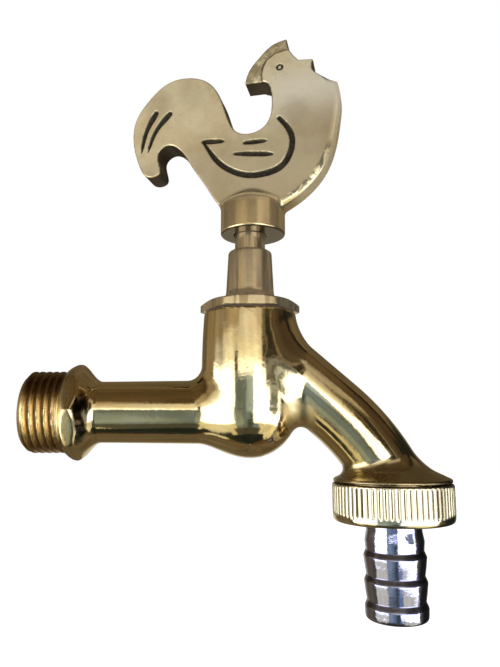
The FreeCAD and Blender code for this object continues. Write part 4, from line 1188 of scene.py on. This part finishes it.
def makeSurround():
    # a sphere cut off just above the floor, seen in the metal alone, painted by direction
    s = studio
    a = np.radians(np.linspace(-180, 180, 361))
    e = np.radians(np.linspace(-89.5, 89.5, 180))
    a, e = np.meshgrid(a, e, indexing="ij")
    ahead = np.stack([np.cos(e) * np.sin(a), -np.cos(e) * np.cos(a), np.sin(e)], axis=-1)
    drop = s["centre"][2] - s["floor"] - 0.5
    reach = np.minimum(s["radius"], drop / np.maximum(-np.sin(e), 1e-3))
    points = np.array(s["centre"]) + ahead * reach[..., None]
    index = np.arange(a.size).reshape(a.shape)
    quads = np.stack([index[:-1, :-1], index[:-1, 1:], index[1:, 1:], index[1:, :-1]],
                     axis=-1).reshape(-1, 4)
    piece = toMesh("surround", points.reshape(-1, 3), [quads])
    colour = np.zeros(a.shape + (3,)) + np.array(s["olive"])
    for patch in s["patches"]:
        colour = paint(colour, patch, np.degrees(a), np.degrees(e))
    for share, across, upwards, phase in s["waves"]:
        colour *= 1 + share * np.sin(across * a + upwards * e + phase)[..., None]
    layer = piece.data.attributes.new("glow", "FLOAT_COLOR", "POINT")
    opaque = np.concatenate([colour.reshape(-1, 3), np.ones((a.size, 1))], axis=1)
    layer.data.foreach_set("color", opaque.ravel().astype(np.float32))
    material, tree = blankMaterial("surround")
    tree.nodes.clear()
    shade = tree.nodes.new("ShaderNodeAttribute")
    shade.attribute_name = "glow"
    glow = Wire(tree, shade.outputs["Color"])
    glow = glow.node("ShaderNodeEmission", {"Color": glow})
    connect(tree.nodes.new("ShaderNodeOutputMaterial"), {"Surface": glow})
    coat(piece, material)
    piece.visible_camera = False
    piece.visible_shadow = False
    piece.visible_diffuse = False


def seenRays(tree):
    # 1 for camera, glossy and transmission rays, 0 for the rest
    path = tree.nodes.new("ShaderNodeLightPath")
    camera, glossy, through = [Wire(tree, path.outputs[kind]) for kind in
                               ("Is Camera Ray", "Is Glossy Ray", "Is Transmission Ray")]
    return camera.most(glossy).most(through)


def makeFloor():
    far, level = studio["floorReach"], studio["floor"]
    floor = toMesh("floor", [(-far, -far, level), (far, -far, level),
                             (far, far, level), (-far, far, level)], [np.array([[0, 1, 2, 3]])])
    material, tree = blankMaterial("floorPale")
    connect(tree.nodes["Principled BSDF"], {
        "Base Color": hue(0.9, 0.9, 0.9), "Roughness": 1.0,
        "Emission Strength": studio["floorGlow"],
        "Emission Color": seenRays(tree).mix(hue(0, 0, 0), hue(1, 1, 1)),
    })
    coat(floor, material)


makeSurround()
makeFloor()

world = bpy.data.worlds.new("studio")
bpy.context.scene.world = world
world.use_nodes = True
tree = world.node_tree
# white where it is seen, softer where it only lights
soft = tree.nodes["Background"]
seen = tree.nodes.new("ShaderNodeBackground")
connect(soft, {"Color": hue(1, 1, 1), "Strength": studio["worldLight"]})
connect(seen, {"Color": hue(1, 1, 1), "Strength": 1.0})
rays = seenRays(tree)
either = rays.node("ShaderNodeMixShader", {
    "Fac": rays, 1: Wire(tree, soft.outputs[0]), 2: Wire(tree, seen.outputs[0])})
connect(tree.nodes["World Output"], {"Surface": either})

for name, centre in studio["boxes"].items():
    lamp = bpy.data.lights.new(name, "AREA")
    lamp.size = studio["boxSize"] * mm
    lamp.energy = studio["boxPower"]
    box = putInScene(name, lamp)
    box.location = [v * mm for v in centre]
    ahead = Vector(studio["centre"]) - Vector(centre)
    box.rotation_euler = ahead.to_track_quat("-Z", "Y").to_euler()
    box.visible_glossy = False

camera = bpy.data.cameras.new("camera")
camera.lens = viewpoint["lens"]
camera.sensor_width = viewpoint["sensor"]
camera.clip_start = 10 * mm
cameraObject = putInScene("camera", camera)
cameraObject.location = (chamberX * mm, viewpoint["ahead"] * mm, viewpoint["level"] * mm)
cameraObject.rotation_euler = (math.radians(viewpoint["tilt"]), 0, 0)
bpy.context.scene.camera = cameraObject
bpy.context.scene.view_settings.view_transform = "Standard"
print("stage")
